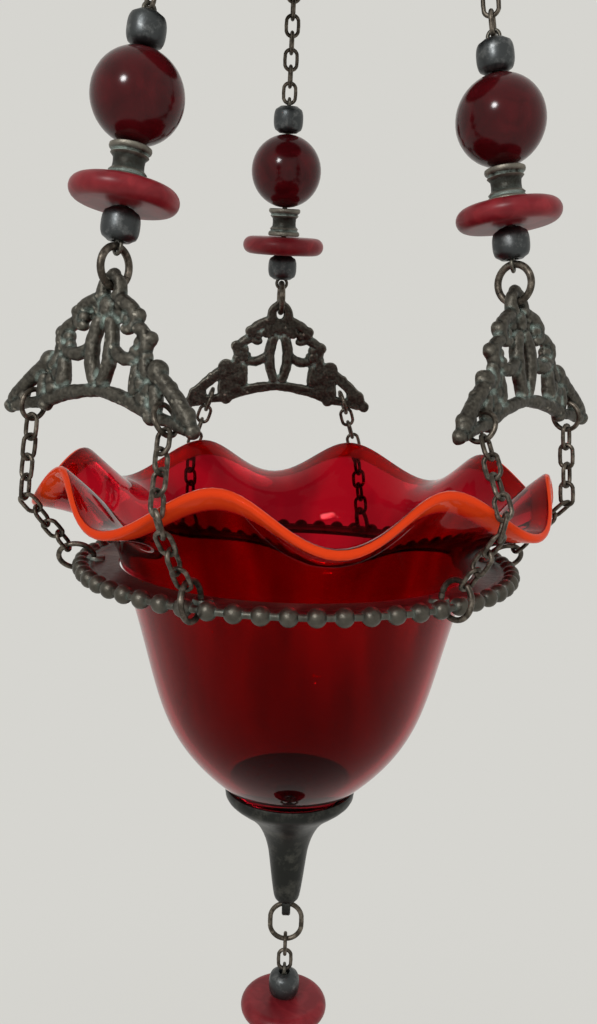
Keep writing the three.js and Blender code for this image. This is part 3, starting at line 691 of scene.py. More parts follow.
def spoolBead(height, flange):
    s = beadSizes
    half, bore, waist = height / 2, s["barrelBore"] / 2, s["spoolWaist"] / 2
    lower = [(bore, -half), (flange - 0.5, -half), (flange - 0.1, -half + 0.25), (flange, -half + 0.8),
             (flange - 0.15, -half + 1.3), (flange - 0.5, -half + 1.65), (waist + 0.75, -half + 1.8),
             (waist + 0.7, -half + 2.2), (waist + 0.95, -half + 2.5), (waist + 0.55, -half + 2.9),
             (waist + 0.1, -half + 3.4)]
    upper = [(radius, -level) for radius, level in reversed(lower)]
    return turnPiece("spoolMaster", [*lower, (waist, 0), *upper], s["sides"], True, 40)


# Pin with an eye at one or both ends, about Z, in mm: the lower eye is larger, and each eye's middle
# stands a little way in from the pin's end. The saw cut is in degrees.
pinSizes = {
    "wire": 1.8,
    "eyeWire": 1.1,
    "lowEyeRadius": 1.85,
    "lowEyeRise": 2.475,
    "lowShankGap": 1.75,
    "highEyeRadius": 1.6,
    "highEyeDrop": 2.233,
    "highShankGap": 1.5,
    "sawCut": 12,
}


def eyeOf(radius, height, turned):
    eye = wireRing("eye", 2 * radius + pinSizes["eyeWire"], pinSizes["eyeWire"], 10, 22, pinSizes["sawCut"])
    turn = Matrix.Rotation(math.pi / 2 if turned else 0, 4, "Z")
    return placePiece(eye, Matrix.Translation((0, 0, height * mm)) @ turn)


def shankOf(low, high):
    radius = pinSizes["wire"] / 2
    steps = [(radius * 0.8, low), (radius, low + 0.15), (radius, high - 0.15), (radius * 0.8, high)]
    return turnPiece("shank", steps, 14, False, 40)


# Oval loop of round wire that stands in XZ: a torus with its two halves moved apart
def ovalLoop(name, width, height, wire, turns, sides):
    deselectAll()
    bpy.ops.mesh.primitive_torus_add(major_segments=turns, minor_segments=sides,
                                     major_radius=(width - wire) / 2 * mm, minor_radius=wire / 2 * mm,
                                     rotation=(math.pi / 2, 0, 0))
    loop = newPiece(name)
    applyPlace()
    editMode(True)
    for hand in (1, -1):
        pick("VERT", lambda vertex: vertex.co.z * hand > 0.05 * mm)
        bpy.ops.transform.translate(value=(0, 0, hand * (height - width) / 2 * mm))
    editMode(False)
    smoothByAngle(loop, 60)
    return loop


# Chain of oval links in mm, each hooked through the next
chainSizes = {"width": 5.4, "wire": 1.25, "turns": 22, "sides": 9, "upperLinks": 7, "shortLinks": 8}


def linkPiece(span):
    s = chainSizes
    return ovalLoop("link", s["width"], span + 2 * s["wire"], s["wire"], s["turns"], s["sides"])


# Run of chain along a way of points in metres: each link a quarter turn from the last, the turn
# left over between the two ends taken up where the way bends
def chainRun(name, way, firstSide, lastSide, count):
    lengths = [(way[k + 1] - way[k]).length for k in range(len(way) - 1)]
    total = sum(lengths)

    def pointAt(distance):
        k = 0
        while k < len(lengths) - 1 and distance > lengths[k]:
            distance -= lengths[k]
            k += 1
        return way[k].lerp(way[k + 1], distance / lengths[k])

    def squared(side, along):
        return (side - along * side.dot(along)).normalized()

    joints = [pointAt(total * k / count) for k in range(count + 1)]
    along = [(joints[k + 1] - joints[k]).normalized() for k in range(count)]
    sides = [squared(firstSide, along[0])]
    for k in range(1, count):
        sides.append(squared(sides[-1], along[k]))
    last = squared(lastSide, along[-1])
    turn = math.atan2(along[-1].dot(sides[-1].cross(last)), sides[-1].dot(last)) - (count - 1) * math.pi / 2
    leftover = turn - math.pi * round(turn / math.pi)
    bend = math.floor(count * lengths[0] / total)
    span = total / count / mm
    master = linkPiece(span)
    links = []
    for k in range(count):
        shared = leftover * min(1, max(0, (k - bend + 1) / 2))
        side = Matrix.Rotation(k * math.pi / 2 + shared, 3, along[k]) @ sides[k]
        link = copyPiece(master, "link")
        links.append(placePiece(link, frameAt((joints[k] + joints[k + 1]) / 2, side, along[k])))
    deletePieces(master)
    return joinPieces(links, name)


# Cast openwork bracket: half of it as strands in mm, each point across, down and forward of the top
# hole with its half thickness, and round knobs on them. The other half is its mirror image, and the
# skin swells each half thickness by the flesh.
bracketCast = {
    "lug": [(-1.2, 2.7, 0, 1.15), (1.6, 2.5, 0, 1.2), (3.1, 0.4, 0, 1.35), (3.1, -2.2, 0, 1.5),
            (1.8, -4.0, 0.2, 1.6)],
    "neck": [(0, -3.8, 0.1, 1.6), (0, -6.0, 0.3, 1.6), (0.5, -8.4, 0.4, 1.4)],
    "upperVolute": [(2.6, -2.8, 0.1, 1.5), (5.6, -3.9, 0.3, 1.4), (8.8, -5.4, 0.4, 1.4),
                    (10.6, -7.8, 0.5, 1.35), (10.0, -10.2, 0.6, 1.25), (7.8, -11.2, 0.8, 1.15),
                    (6.2, -9.8, 1.0, 1.05)],
    "lowerVolute": [(9.6, -9.6, 0.5, 1.25), (12.6, -10.4, 0.5, 1.35), (15.0, -12.4, 0.5, 1.4),
                    (15.6, -15.4, 0.5, 1.4), (13.8, -17.4, 0.7, 1.25), (11.4, -16.6, 0.9, 1.1),
                    (11.2, -14.6, 1.0, 1.0)],
    "sideDown": [(15.4, -15.4, 0.4, 1.35), (15.2, -18.4, 0.3, 1.4), (16.0, -21.2, 0.2, 1.6),
                 (18.4, -23.0, 0.1, 1.7)],
    "arm": [(16.6, -20.8, 0.3, 1.5), (20.4, -21.8, 0.3, 1.6), (23.8, -24.4, 0.2, 1.5),
            (27.6, -27.6, 0.1, 1.5), (31.0, -31.4, 0, 1.6), (33.2, -34.2, 0, 1.3)],
    "almond": [(0.9, -7.4, 0.4, 1.4), (2.7, -10.6, 0.6, 1.45), (3.5, -15.0, 0.8, 1.5),
               (3.2, -19.6, 0.7, 1.45), (2.2, -23.6, 0.5, 1.4), (0.5, -26.2, 0.1, 1.5)],
    "crossScroll": [(3.4, -15.4, 0.7, 1.2), (5.8, -17.4, 1.0, 1.3), (8.4, -18.5, 1.1, 1.35),
                    (11.2, -18.2, 1.0, 1.35), (13.6, -17.0, 0.6, 1.4)],
    "innerPost": [(13.4, -18.6, 0.6, 1.3), (13.2, -21.6, 0.6, 1.4), (13.0, -24.8, 0.4, 1.5),
                  (13.4, -27.8, 0.2, 1.5)],
    "foot": [(-1.4, -27.0, 0.1, 1.3), (4.4, -27.5, 0.1, 1.35), (9.0, -28.3, 0.1, 1.4),
             (13.2, -29.2, 0.1, 1.5), (17.4, -30.8, 0, 1.5), (21.0, -32.2, 0, 1.3),
             (24.4, -32.5, 0, 1.1), (28.2, -33.0, 0, 1.3), (32.6, -34.4, 0, 1.35)],
    "holeInside": [(19.8, -23.6, 0.2, 1.5), (20.6, -28.2, 0.1, 1.35), (20.8, -31.8, 0, 1.4)],
    "holeOutside": [(28.0, -28.4, 0, 1.3), (28.2, -30.6, 0, 1.25), (28.0, -32.6, 0, 1.3)],
    "knobs": [(0, -5.0, -0.4, 2.9), (7.9, -8.4, 0.4, 1.9), (12.9, -13.9, 0.4, 1.9),
              (19.4, -20.8, -0.5, 3.2), (15.0, -24.0, -0.6, 2.9), (16.4, -28.2, -0.6, 2.9),
              (17.6, -25.8, -0.6, 2.7), (24.6, -24.4, -0.2, 1.9), (30.4, -30.8, -0.3, 2.6),
              (33.2, -34.2, -0.3, 2.1), (19.2, -32.2, -0.2, 2.3), (3.2, -12.6, 0.9, 1.7),
              (8.4, -18.6, 1.0, 1.6), (10.6, -7.2, 0, 2.2), (15.6, -12.8, 0, 2.2), (0, 3.0, -0.2, 1.9),
              (3.6, -6.2, -0.8, 2.2), (5.0, -7.8, -1.0, 1.7), (4.2, -4.6, -0.3, 2.1),
              (13.0, -16.2, -0.9, 1.7)],
    "flesh": 1.5,
    "backPlane": -1.25,
    "backRelief": 0.1,
    "voxel": 0.3,
    "lumpSize": 3.4,
    "lumpDepth": 0.6,
}
bracketStrands = ("lug", "neck", "upperVolute", "lowerVolute", "sideDown", "arm", "almond", "crossScroll",
                  "innerPost", "foot", "holeInside", "holeOutside")


def inPlate(across, down, forward):
    return Vector((forward, across, down)) * mm


# A strand is one point drawn out along its way and fleshed out by a skin
def skinStrand(points):
    deselectAll()
    ways = [inPlate(*point[:3]) for point in points]
    bpy.ops.mesh.primitive_plane_add(size=mm, location=ways[0])
    strand = newPiece("strand")
    applyPlace()
    editMode(True)
    bpy.ops.mesh.select_mode(type="VERT")
    bpy.ops.mesh.select_all(action="SELECT")
    bpy.ops.mesh.merge(type="CENTER")
    for before, after in zip(ways, ways[1:]):
        bpy.ops.mesh.extrude_vertices_move(TRANSFORM_OT_translate={"value": after - before})
    editMode(False)
    bpy.ops.object.modifier_add(type="SKIN")
    for vertex, corner in zip(strand.data.vertices, strand.data.skin_vertices[0].data):
        nearest = min(range(len(ways)), key=lambda k: (ways[k] - vertex.co).length)
        thick = points[nearest][3] * bracketCast["flesh"] * mm
        corner.radius = (thick, thick)
    bpy.ops.object.modifier_apply(modifier=strand.modifiers[-1].name)
    addModifier(strand, "SUBSURF", levels=2, render_levels=2)
    return strand


def knobPiece(across, down, forward, radius):
    deselectAll()
    bpy.ops.mesh.primitive_ico_sphere_add(subdivisions=3, radius=radius * mm,
                                          location=inPlate(across, down, forward))
    knob = newPiece("knob")
    applyPlace()
    return knob


def bracketMaster():
    s = bracketCast
    parts = [skinStrand(s[name]) for name in bracketStrands]
    parts += [knobPiece(*knob) for knob in s["knobs"]]
    bracket = joinPieces(parts, "bracketMaster")
    addModifier(bracket, "MIRROR", use_axis=(False, True, False), use_mirror_merge=False)
    addModifier(bracket, "REMESH", mode="VOXEL", voxel_size=s["voxel"] * mm)
    # The back of the casting is pressed flat
    selectOnly(bracket)
    editMode(True)
    pick("VERT", lambda vertex: vertex.co.x < s["backPlane"] * mm)
    bpy.ops.transform.resize(value=(s["backRelief"], 1, 1), center_override=(s["backPlane"] * mm, 0, 0))
    editMode(False)
    addModifier(bracket, "SMOOTH", factor=0.5, iterations=4)
    lumps = bpy.data.textures.new("castLumps", "CLOUDS")
    lumps.noise_scale = s["lumpSize"] * mm
    addModifier(bracket, "DISPLACE", texture=lumps, strength=s["lumpDepth"] * mm, mid_level=0.5,
                texture_coords="LOCAL")
    selectOnly(bracket)
    bpy.ops.object.shade_smooth()
    return bracket


# Glass bowl, heights in mm from the plane of the ring's beads
bowlSizes = {
    "around": 192,
    "foot": (20.2, -73.5),
    "footHandle": (46.1, -51.5),
    "neckHandle": (40.9, -40.7),
    "neck": (54.25, 0.7),
    "flareHandle": (56.35, 14.9),
    "lip": (77.0, 23.5),
    "wall": 2.6,
    "wallSteps": 26,
    "flareSteps": 16,
    "lobes": 8,
    "lobeAngle": -82,
    "lobeRise": 6.4,
    "lobeReach": 2.3,
    "pegRadius": 8.0,
    "pegFoot": -82.0,
    "baseHeight": -75.0,
    "farFromLip": 60.0,
    "bandOverLip": 2.0,
}


# Height of the plane through the ring's beads, from the foot of the glass
def ringPlane():
    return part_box("glass_bowl")[0].z - bowlSizes["pegFoot"] * mm


def bowlCurves():
    s = bowlSizes
    foot, first, second, neck = (Vector(s[key]) for key in ("foot", "footHandle", "neckHandle", "neck"))
    bend, lip = Vector(s["flareHandle"]), Vector(s["lip"])

    def wallPoint(t):
        back = 1 - t
        return foot * back ** 3 + first * 3 * t * back ** 2 + second * 3 * t ** 2 * back + neck * t ** 3

    def flarePoint(t, angle):
        wave = math.cos(s["lobes"] * (angle - s["lobeAngle"] * degree)) * t ** 2
        point = neck * (1 - t) ** 2 + bend * 2 * t * (1 - t) + lip * t ** 2
        return point + Vector((s["lobeReach"] * wave, -s["lobeRise"] * wave))

    return wallPoint, flarePoint


# The wall's section at one angle: outside from the foot up, round the lip, and down the inside
def bowlSection(angle):
    s = bowlSizes
    wallPoint, flarePoint = bowlCurves()
    outer = [wallPoint(k / s["wallSteps"]) for k in range(s["wallSteps"])]
    outer += [flarePoint(k / s["flareSteps"], angle) for k in range(s["flareSteps"] + 1)]
    inner = []
    for k, point in enumerate(outer):
        along = (outer[min(k + 1, len(outer) - 1)] - outer[max(k - 1, 0)]).normalized()
        inner.append(point + Vector((-along.y, along.x)) * s["wall"])
    middle = (outer[-1] + inner[-1]) / 2
    half = (outer[-1] - inner[-1]) / 2
    ahead = Vector((-half.y, half.x))
    lip = [middle + half * math.cos(turn * degree) + ahead * math.sin(turn * degree)
           for turn in range(30, 180, 30)]
    floorHeight = s["foot"][1] + s["wall"]
    inner = [point for point in inner if point.y > floorHeight + 0.6]
    return outer, lip, inner[::-1], floorHeight


def glassBowl():
    s = bowlSizes
    outer, lip, inner, floorHeight = bowlSection(0)
    base = [(s["pegRadius"], s["pegFoot"]), (s["pegRadius"], s["baseHeight"]),
            (s["foot"][0] - 1.6, s["baseHeight"])]
    floorEdge = [(inner[-1].x - 1.2, floorHeight + 0.1), (inner[-1].x - 3.0, floorHeight)]
    steps = base + [tuple(point) for point in outer + lip + inner] + floorEdge
    bowl = turnPiece("glassBowl", steps, s["around"], False)
    # The ruffle: every ring of points above the neck takes its place in the lobed section at its angle
    plain = [Vector(step) for step in steps]
    firstLobed = len(base) + s["wallSteps"]
    lastLobed = len(base) + len(outer) + len(lip) + len(inner)
    sections = {}
    lipIndex = len(base) + len(outer)
    # Way down the outside from the lip in mm, which the struck band of colour follows. The band laps
    # over the lip's top, and everything else counts as far away.
    outsideOfLip = 3
    fromLip = [s["farFromLip"]] * len(plain)
    for k in range(lipIndex, lipIndex + len(lip)):
        fromLip[k] = 0.0 if k < lipIndex + outsideOfLip else s["bandOverLip"]
    for k in range(lipIndex - 1, firstLobed - 1, -1):
        fromLip[k] = fromLip[k + 1] + (plain[k] - plain[k + 1]).length
    lipWay = bowl.data.attributes.new("fromLip", "FLOAT", "POINT")
    for vertex in bowl.data.vertices:
        radius, height = math.hypot(vertex.co.x, vertex.co.y) / mm, vertex.co.z / mm
        place = Vector((radius, height))
        nearest = min(range(len(plain)), key=lambda k: (plain[k] - place).length_squared)
        angle = math.atan2(vertex.co.y, vertex.co.x)
        lipWay.data[vertex.index].value = fromLip[nearest]
        if not firstLobed <= nearest < lastLobed:
            continue
        key = round(angle, 5)
        if key not in sections:
            lobedOuter, lobedLip, lobedInner, _ = bowlSection(angle)
            sections[key] = [Vector(step) for step in base] + lobedOuter + lobedLip + lobedInner
        lobed = sections[key]
        if nearest < len(lobed):
            vertex.co.x = lobed[nearest].x * mm * math.cos(angle)
            vertex.co.y = lobed[nearest].x * mm * math.sin(angle)
            vertex.co.z = lobed[nearest].y * mm
    smoothByAngle(bowl, 60)
    return bowl


# Beaded ring in mm: heights count from the plane through its beads, and the step and the bosses stand
# in from the circle of the beads. The lugs stand by degrees to either side of each string.
ringSizes = {
    "beadCircle": 66.0,
    "beadCount": 60,
    "beadDiameter": 5.2,
    "railDiameter": 2.0,
    "inner": 54.6,
    "thickness": 1.4,
    "stepInner": 4.2,
    "stepOuter": 2.6,
    "stepSlope": 0.4,
    "stepRise": 0.25,
    "bossDiameter": 5.6,
    "bossHeight": 2.0,
    "bossInset": 4.3,
    "lugSpread": 30,
}


def edgeBead():
    s = ringSizes
    radius, rail = s["beadDiameter"] / 2, s["railDiameter"] / 2
    reach = math.degrees(math.acos((rail - 0.3) / radius))
    return turnPiece("edgeBead", arcSteps(0, 0, radius, -reach, reach, 10), 18, False, 60)


def bossPiece():
    s = ringSizes
    radius = s["bossDiameter"] / 2
    steps = [(radius, 0), (radius, s["bossHeight"] - 0.6), (radius - 0.25, s["bossHeight"] - 0.15),
             (radius - 0.9, s["bossHeight"]), (radius - 1.4, s["bossHeight"])]
    return turnPiece("boss", steps, 20, False, 40)


def beadedRing(lugAngles):
    s = ringSizes
    half, rail = s["thickness"] / 2, s["railDiameter"] / 2
    inward = 180 - math.degrees(math.asin(half / rail))
    stepInner, stepOuter = s["beadCircle"] - s["stepInner"], s["beadCircle"] - s["stepOuter"]
    stepTop = half + s["stepRise"]
    upper = [(stepOuter, stepTop), (stepInner + s["stepSlope"], stepTop), (stepInner, half),
             (s["inner"] + 0.2, half), (s["inner"], half - 0.2)]
    lower = [(radius, -height) for radius, height in reversed(upper)]
    steps = lower + arcSteps(s["beadCircle"], 0, rail, -inward, inward, 10) + upper
    flange = turnPiece("flange", steps, 180, True, 40)
    bead = edgeBead()
    parts = [flange]
    for k in range(s["beadCount"]):
        angle = lugAngles[0] + 2 * math.pi * (k + 0.5) / s["beadCount"]
        outward = Vector((math.cos(angle), math.sin(angle), 0))
        place = frameAt(outward * s["beadCircle"] * mm, outward, Vector((-outward.y, outward.x, 0)))
        parts.append(placePiece(copyPiece(bead, "edgeBead"), place))
    boss = bossPiece()
    for angle in lugAngles:
        reach = (s["beadCircle"] - s["bossInset"]) * mm
        place = Matrix.Translation((reach * math.cos(angle), reach * math.sin(angle), 0))
        parts.append(placePiece(copyPiece(boss, "boss"), place))
    deletePieces(bead, boss)
    return joinPieces(parts, "beadedRing")


# Flat tab: a round eye about Y with a bar up to what carries it
def eyeTab(name, width, thickness, hole, rise):
    half, outer = thickness / 2, width / 2
    steps = [(hole + 0.25, -half), (outer - 0.4, -half), (outer, -half + 0.4), (outer, half - 0.4),
             (outer - 0.4, half), (hole + 0.25, half), (hole, half - 0.3), (hole, -half + 0.3)]
    eye = turnPiece("eyeDisc", steps, 40, True, 40)
    placePiece(eye, Matrix.Rotation(math.pi / 2, 4, "X"))
    deselectAll()
    middle = (hole + 0.6 + rise) / 2
    bulk = Vector((width * 0.94, thickness * 0.98, rise - hole - 0.6)) * mm
    bpy.ops.mesh.primitive_cube_add(size=1, location=(0, 0, middle * mm), scale=bulk)
    bar = newPiece("bar")
    applyPlace()
    editMode(True)
    pick("EDGE", lambda edge: abs(edge.verts[0].co.z - edge.verts[1].co.z) > 0.1 * mm)
    bpy.ops.mesh.bevel(offset=0.3 * mm, segments=3)
    editMode(False)
    smoothByAngle(bar, 40)
    return joinPieces([eye, bar], name)


# Finial cup, stem and tab, heights in mm from the cup's rim
cupSizes = {
    "profile": [(19.9, -0.2), (20.35, 0.0), (20.8, -0.15), (21.0, -0.7), (20.95, -1.7), (20.8, -2.9),
                (20.2, -4.0), (19.0, -5.2), (17.0, -6.8), (15.0, -8.3), (13.2, -9.8), (11.6, -11.4),
                (10.3, -13.0), (9.3, -14.6), (8.4, -16.4), (7.6, -18.4), (7.0, -20.4), (6.5, -22.6),
                (6.1, -25.4), (5.6, -29.5), (5.1, -33.5), (4.6, -37.0), (4.25, -38.9), (3.9, -39.9),
                (3.3, -40.6)],
    "seat": [(8.35, -9.0), (8.35, -1.9), (19.3, -1.9)],
    "tabWidth": 7.6,
    "tabThickness": 2.8,
    "tabHole": 1.5,
    "tabRise": 3.4,
    "tabDrop": 42.3,
}


def finialCup():
    s = cupSizes
    cup = turnPiece("cup", s["seat"] + s["profile"], 72, False, 35)
    tab = eyeTab("tab", s["tabWidth"], s["tabThickness"], s["tabHole"], s["tabRise"])
    placePiece(tab, Matrix.Translation((0, 0, -s["tabDrop"] * mm)) @ Matrix.Rotation(math.pi / 2, 4, "Z"))
    return joinPieces([cup, tab], "finialCup")


# Crown where the strings meet, heights in mm from the hole of its top tab
crownSizes = {
    "top": -7.0,
    "rise": 9.0,
    "thickness": 1.6,
    "tabWidth": 7.0,
    "tabThickness": 1.4,
    "tabHole": 1.25,
    "brim": 4.0,
    "rolledEdge": 0.4,
    "curveSteps": 20,
    "topTabWidth": 9.0,
    "topTabThickness": 3.0,
    "topTabHole": 2.0,
}


def crownPiece(edge, angles):
    s = crownSizes
    foot, steps = s["top"] - s["rise"], s["curveSteps"]

    def curve(t, drop):
        radius = edge * (1 - t) ** 2 + edge * t * (1 - t)
        height = foot * (1 - t) ** 2 + s["top"] * (2 * t * (1 - t) + t ** 2)
        return radius, height - drop

    outside = [curve(k / steps, 0) for k in range(steps)] + [(0.4, s["top"])]
    inside = [curve(k / steps, s["thickness"]) for k in range(steps)] + [(0.4, s["top"] - s["thickness"])]
    rolledEdge = [(edge + 0.35, foot - 0.45), (edge + 0.35, foot - 1.15)]
    dish = turnPiece("dish", [*outside[::-1], *rolledEdge, *inside], 72, False, 40)
    parts = [dish]
    tabMaster = eyeTab("tab", s["tabWidth"], s["tabThickness"], s["tabHole"], s["tabWidth"] / 2 + 0.8)
    for angle in angles:
        eye = Vector((edge - s["brim"], 0, foot - s["tabWidth"] / 2)) * mm
        place = Matrix.Rotation(angle, 4, "Z") @ Matrix.Translation(eye)
        parts.append(placePiece(copyPiece(tabMaster, "tab"), place))
    deletePieces(tabMaster)
    topTab = eyeTab("topTab", s["topTabWidth"], s["topTabThickness"], s["topTabHole"], -s["top"] + 0.6)
    parts.append(placePiece(topTab, Matrix.Rotation(math.pi, 4, "X")))
    return joinPieces(parts, "crownDish")


# Assembly: every piece goes where the frame has its node, and rides on that node's body
plane = ringPlane()


def stringOf(number):
    place, axis = jointNamed(f"ball_{number}_spin")
    outward = Vector((place.x, place.y, 0)).normalized()
    ringMiddle, ringAxis, _ = ringPlace(f"string_ring_{number}")
    if ringAxis.cross(axis).dot(outward) < 0:
        ringAxis = -ringAxis
    return place, axis, outward, ringMiddle, ringAxis


# Wire of the jump rings in mm, whose outer diameters come from the frame. The saw cut and its turn up
# from the foot are in degrees.
jumpSizes = {
    "stringWire": 2.05,
    "armWire": 1.4,
    "lugWire": 1.6,
    "hangingWire": 3.2,
    "sides": 14,
    "segments": 56,
    "sawCut": 2.5,
    "sawTurn": 70,
}


def jumpRing(name, outer, thick):
    return wireRing(name, outer, thick, jumpSizes["sides"], jumpSizes["segments"], jumpSizes["sawCut"])


# Height and radius in mm of a turned node of the first string
def turnedSize(node):
    low, high, widest = reachOn(node, *jointNamed("ball_1_spin"))
    return (high - low) / mm, widest / mm


ballMiddle = jointNamed("ball_1_spin")[0]
ball = ballBead(max((point - ballMiddle).length for point in nodePoints("ball_1")) / mm)
disc = discBead(*turnedSize("disc_1"))
topBarrel = barrelBead("topBarrelMaster", *turnedSize("top_bead_1"))
lowerBarrel = barrelBead("lowerBarrelMaster", *turnedSize("lower_bead_1"))
spool = spoolBead(*turnedSize("spool_1"))
bracket = bracketMaster()
jumpRingNodes = ("string_ring_1", "arm_ring_1a", "lug_ring_1a")
stringOuter, armOuter, lugOuter = (ringPlace(node)[2] for node in jumpRingNodes)
stringRing = jumpRing("stringRingMaster", stringOuter, jumpSizes["stringWire"])
armRing = jumpRing("armRingMaster", armOuter, jumpSizes["armWire"])
lugRing = jumpRing("lugRingMaster", lugOuter, jumpSizes["lugWire"])
masters = [ball, disc, topBarrel, lowerBarrel, spool, bracket, stringRing, armRing, lugRing]
print("masters modelled")

beadTurn = 1.1  # radians from one string's beads to the next, so that their swirls differ
lugAngles = []
for number in (1, 2, 3):
    place, axis, outward, ringMiddle, ringAxis = stringOf(number)
    turn = Matrix.Rotation(number * beadTurn, 4, "Z")
    for master, node, piece, body, slot, look in (
        (ball, f"ball_{number}", f"glassBall{number}", f"ball_{number}", "ruby_beads", ballGlass),
        (disc, f"disc_{number}", f"glassDisc{number}", f"disc_{number}", "ruby_beads", discGlass),
        (topBarrel, f"top_bead_{number}", f"topBarrel{number}", "lamp", "dark_beads", brass),
        (lowerBarrel, f"lower_bead_{number}", f"lowerBarrel{number}", "lamp", "dark_beads", brass),
        (spool, f"spool_{number}", f"spool{number}", "lamp", "cast_patina", bronze),
    ):
        low, high, _ = reachOn(node, place, axis)
        where = frameAt(place + axis * (low + high) / 2, outward, axis) @ turn
        finishPiece(placePiece(copyPiece(master, piece), where), body, slot, look, node)

    low, high, _ = reachOn(f"eye_pin_{number}", place, axis)
    lowEye, highEye = low / mm + pinSizes["lowEyeRise"], high / mm - pinSizes["highEyeDrop"]
    pin = joinPieces([
        shankOf(lowEye + pinSizes["lowShankGap"], highEye - pinSizes["highShankGap"]),
        eyeOf(pinSizes["lowEyeRadius"], lowEye, True),
        eyeOf(pinSizes["highEyeRadius"], highEye, False),
    ], f"eyePin{number}")
    placePiece(pin, frameAt(place, outward, axis))
    finishPiece(pin, "lamp", "cast_patina", ringBronze, f"eye_pin_{number}")

    low, high, _ = reachOn(f"upper_chain_{number}", place, axis)
    thick = chainSizes["wire"] * mm
    start, end = place + axis * (low + thick), place + axis * (high - thick)
    tangent = axis.cross(outward).normalized()
    upperWay = [start, end]
    upperChain = chainRun(f"upperChain{number}", upperWay, tangent, tangent, chainSizes["upperLinks"])
    finishPiece(upperChain, "lamp", "chain_metal", wire, f"upper_chain_{number}")

    across = ringAxis.cross(axis)
    ringTurn = Matrix.Rotation(jumpSizes["sawTurn"] * degree, 4, "Y")
    loop = copyPiece(stringRing, f"stringRing{number}")
    placePiece(loop, frameAt(ringMiddle, across, axis) @ ringTurn)
    finishPiece(loop, "lamp", "cast_patina", wire, f"string_ring_{number}")

    hole = ringMiddle - axis * (stringOuter - jumpSizes["stringWire"]) / 2 * mm
    casting = placePiece(copyPiece(bracket, f"castBracket{number}"), frameAt(hole, across, axis))
    finishPiece(casting, "lamp", "cast_patina", bronze, f"bracket_{number}")

    for side, hand in (("a", -1), ("b", 1)):
        tag = f"{number}{side}"
        armMiddle, armAxis, _ = ringPlace(f"arm_ring_{tag}")
        lugMiddle, lugAxis, _ = ringPlace(f"lug_ring_{tag}")
        lugAngle = math.atan2(outward.y, outward.x) + hand * ringSizes["lugSpread"] * degree
        lugAngles.append(lugAngle)
        rail = Vector((math.cos(lugAngle), math.sin(lugAngle), 0)) * ringSizes["beadCircle"] * mm
        rail.z = plane
        pull = (lugMiddle - rail).normalized()
        # The chain bends where the lug ring's pull meets the plane of the arm ring
        bend = rail + pull * (armMiddle - rail).dot(armAxis) / pull.dot(armAxis)
        down = (bend - armMiddle).normalized()
        armLoop = placePiece(copyPiece(armRing, f"armRing{tag}"), frameAt(armMiddle, across, down) @ ringTurn)
        finishPiece(armLoop, "lamp", "chain_metal", wire, f"arm_ring_{tag}")
        lugOut = Vector((rail.x, rail.y, 0))
        lugLoop = placePiece(copyPiece(lugRing, f"lugRing{tag}"), frameAt(lugMiddle, lugOut, pull) @ ringTurn)
        finishPiece(lugLoop, "lamp", "chain_metal", wire, f"lug_ring_{tag}")
        start = armMiddle + down * (armOuter / 2 - jumpSizes["armWire"]) * mm
        end = lugMiddle + pull * (lugOuter / 2 - jumpSizes["lugWire"]) * mm
        shortWay = [start, bend, end]
        shortChain = chainRun(f"shortChain{tag}", shortWay, armAxis, lugAxis, chainSizes["shortLinks"])
        finishPiece(shortChain, "lamp", "chain_metal", wire, f"short_chain_{tag}")
print("strings hung")

lift = Matrix.Translation((0, 0, plane))
finishPiece(placePiece(beadedRing(lugAngles), lift), "lamp", "cast_patina", ringBronze, "beaded_ring")
finishPiece(placePiece(glassBowl(), lift), "lamp", "ruby_glass", bowlGlass, "glass_bowl")
cupLift = Matrix.Translation((0, 0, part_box("finial_cup")[1].z))
finishPiece(placePiece(finialCup(), cupLift), "lamp", "dark_beads", cupBrass, "finial_cup")
print("bowl and cup standing")

# Oval ring and pendant, in mm
pendantSizes = {
    "ringWidth": 12.0,
    "ringHeight": 14.4,
    "ringWire": 1.6,
    "ringTurns": 48,
    "ringSides": 14,
    "linkCount": 2,
    "headDiameter": 3.8,
    "headHeight": 1.8,
}


def finialLoop():
    s = pendantSizes
    return ovalLoop("finialRing", s["ringWidth"], s["ringHeight"], s["ringWire"], s["ringTurns"],
                    s["ringSides"])


low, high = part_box("finial_ring")
finialRing = placePiece(finialLoop(), Matrix.Translation((0, 0, (low.z + high.z) / 2)))
finishPiece(finialRing, "finial_ring", "chain_metal", wire, "finial_ring")
low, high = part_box("pendant_chain")
thick = chainSizes["wire"] * mm
pendantWay = [Vector((0, 0, high.z - thick)), Vector((0, 0, low.z + thick))]
alongX, alongY = Vector((1, 0, 0)), Vector((0, 1, 0))
pendantChain = chainRun("pendantChain", pendantWay, alongY, alongX, pendantSizes["linkCount"])
finishPiece(pendantChain, "pendant", "chain_metal", wire, "pendant_chain")
low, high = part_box("pendant_pin")
eyeMiddle = high.z / mm - pinSizes["highEyeDrop"]
headTop = low.z / mm + pendantSizes["headHeight"]
head = pendantSizes["headDiameter"] / 2
headSteps = [(0.5, headTop - pendantSizes["headHeight"]), (1.2, headTop - 1.6), (head - 0.25, headTop - 1.1),
             (head, headTop - 0.7), (head, headTop - 0.2), (head - 0.3, headTop), (0.5, headTop)]
rivetHead = turnPiece("rivetHead", headSteps, 24, False, 40)
pendantPin = joinPieces([
    rivetHead,
    shankOf(headTop - 0.4, eyeMiddle - pinSizes["highShankGap"]),
    eyeOf(pinSizes["highEyeRadius"], eyeMiddle, True),
], "pendantPin")
finishPiece(pendantPin, "pendant", "cast_patina", ringBronze, "pendant_pin")
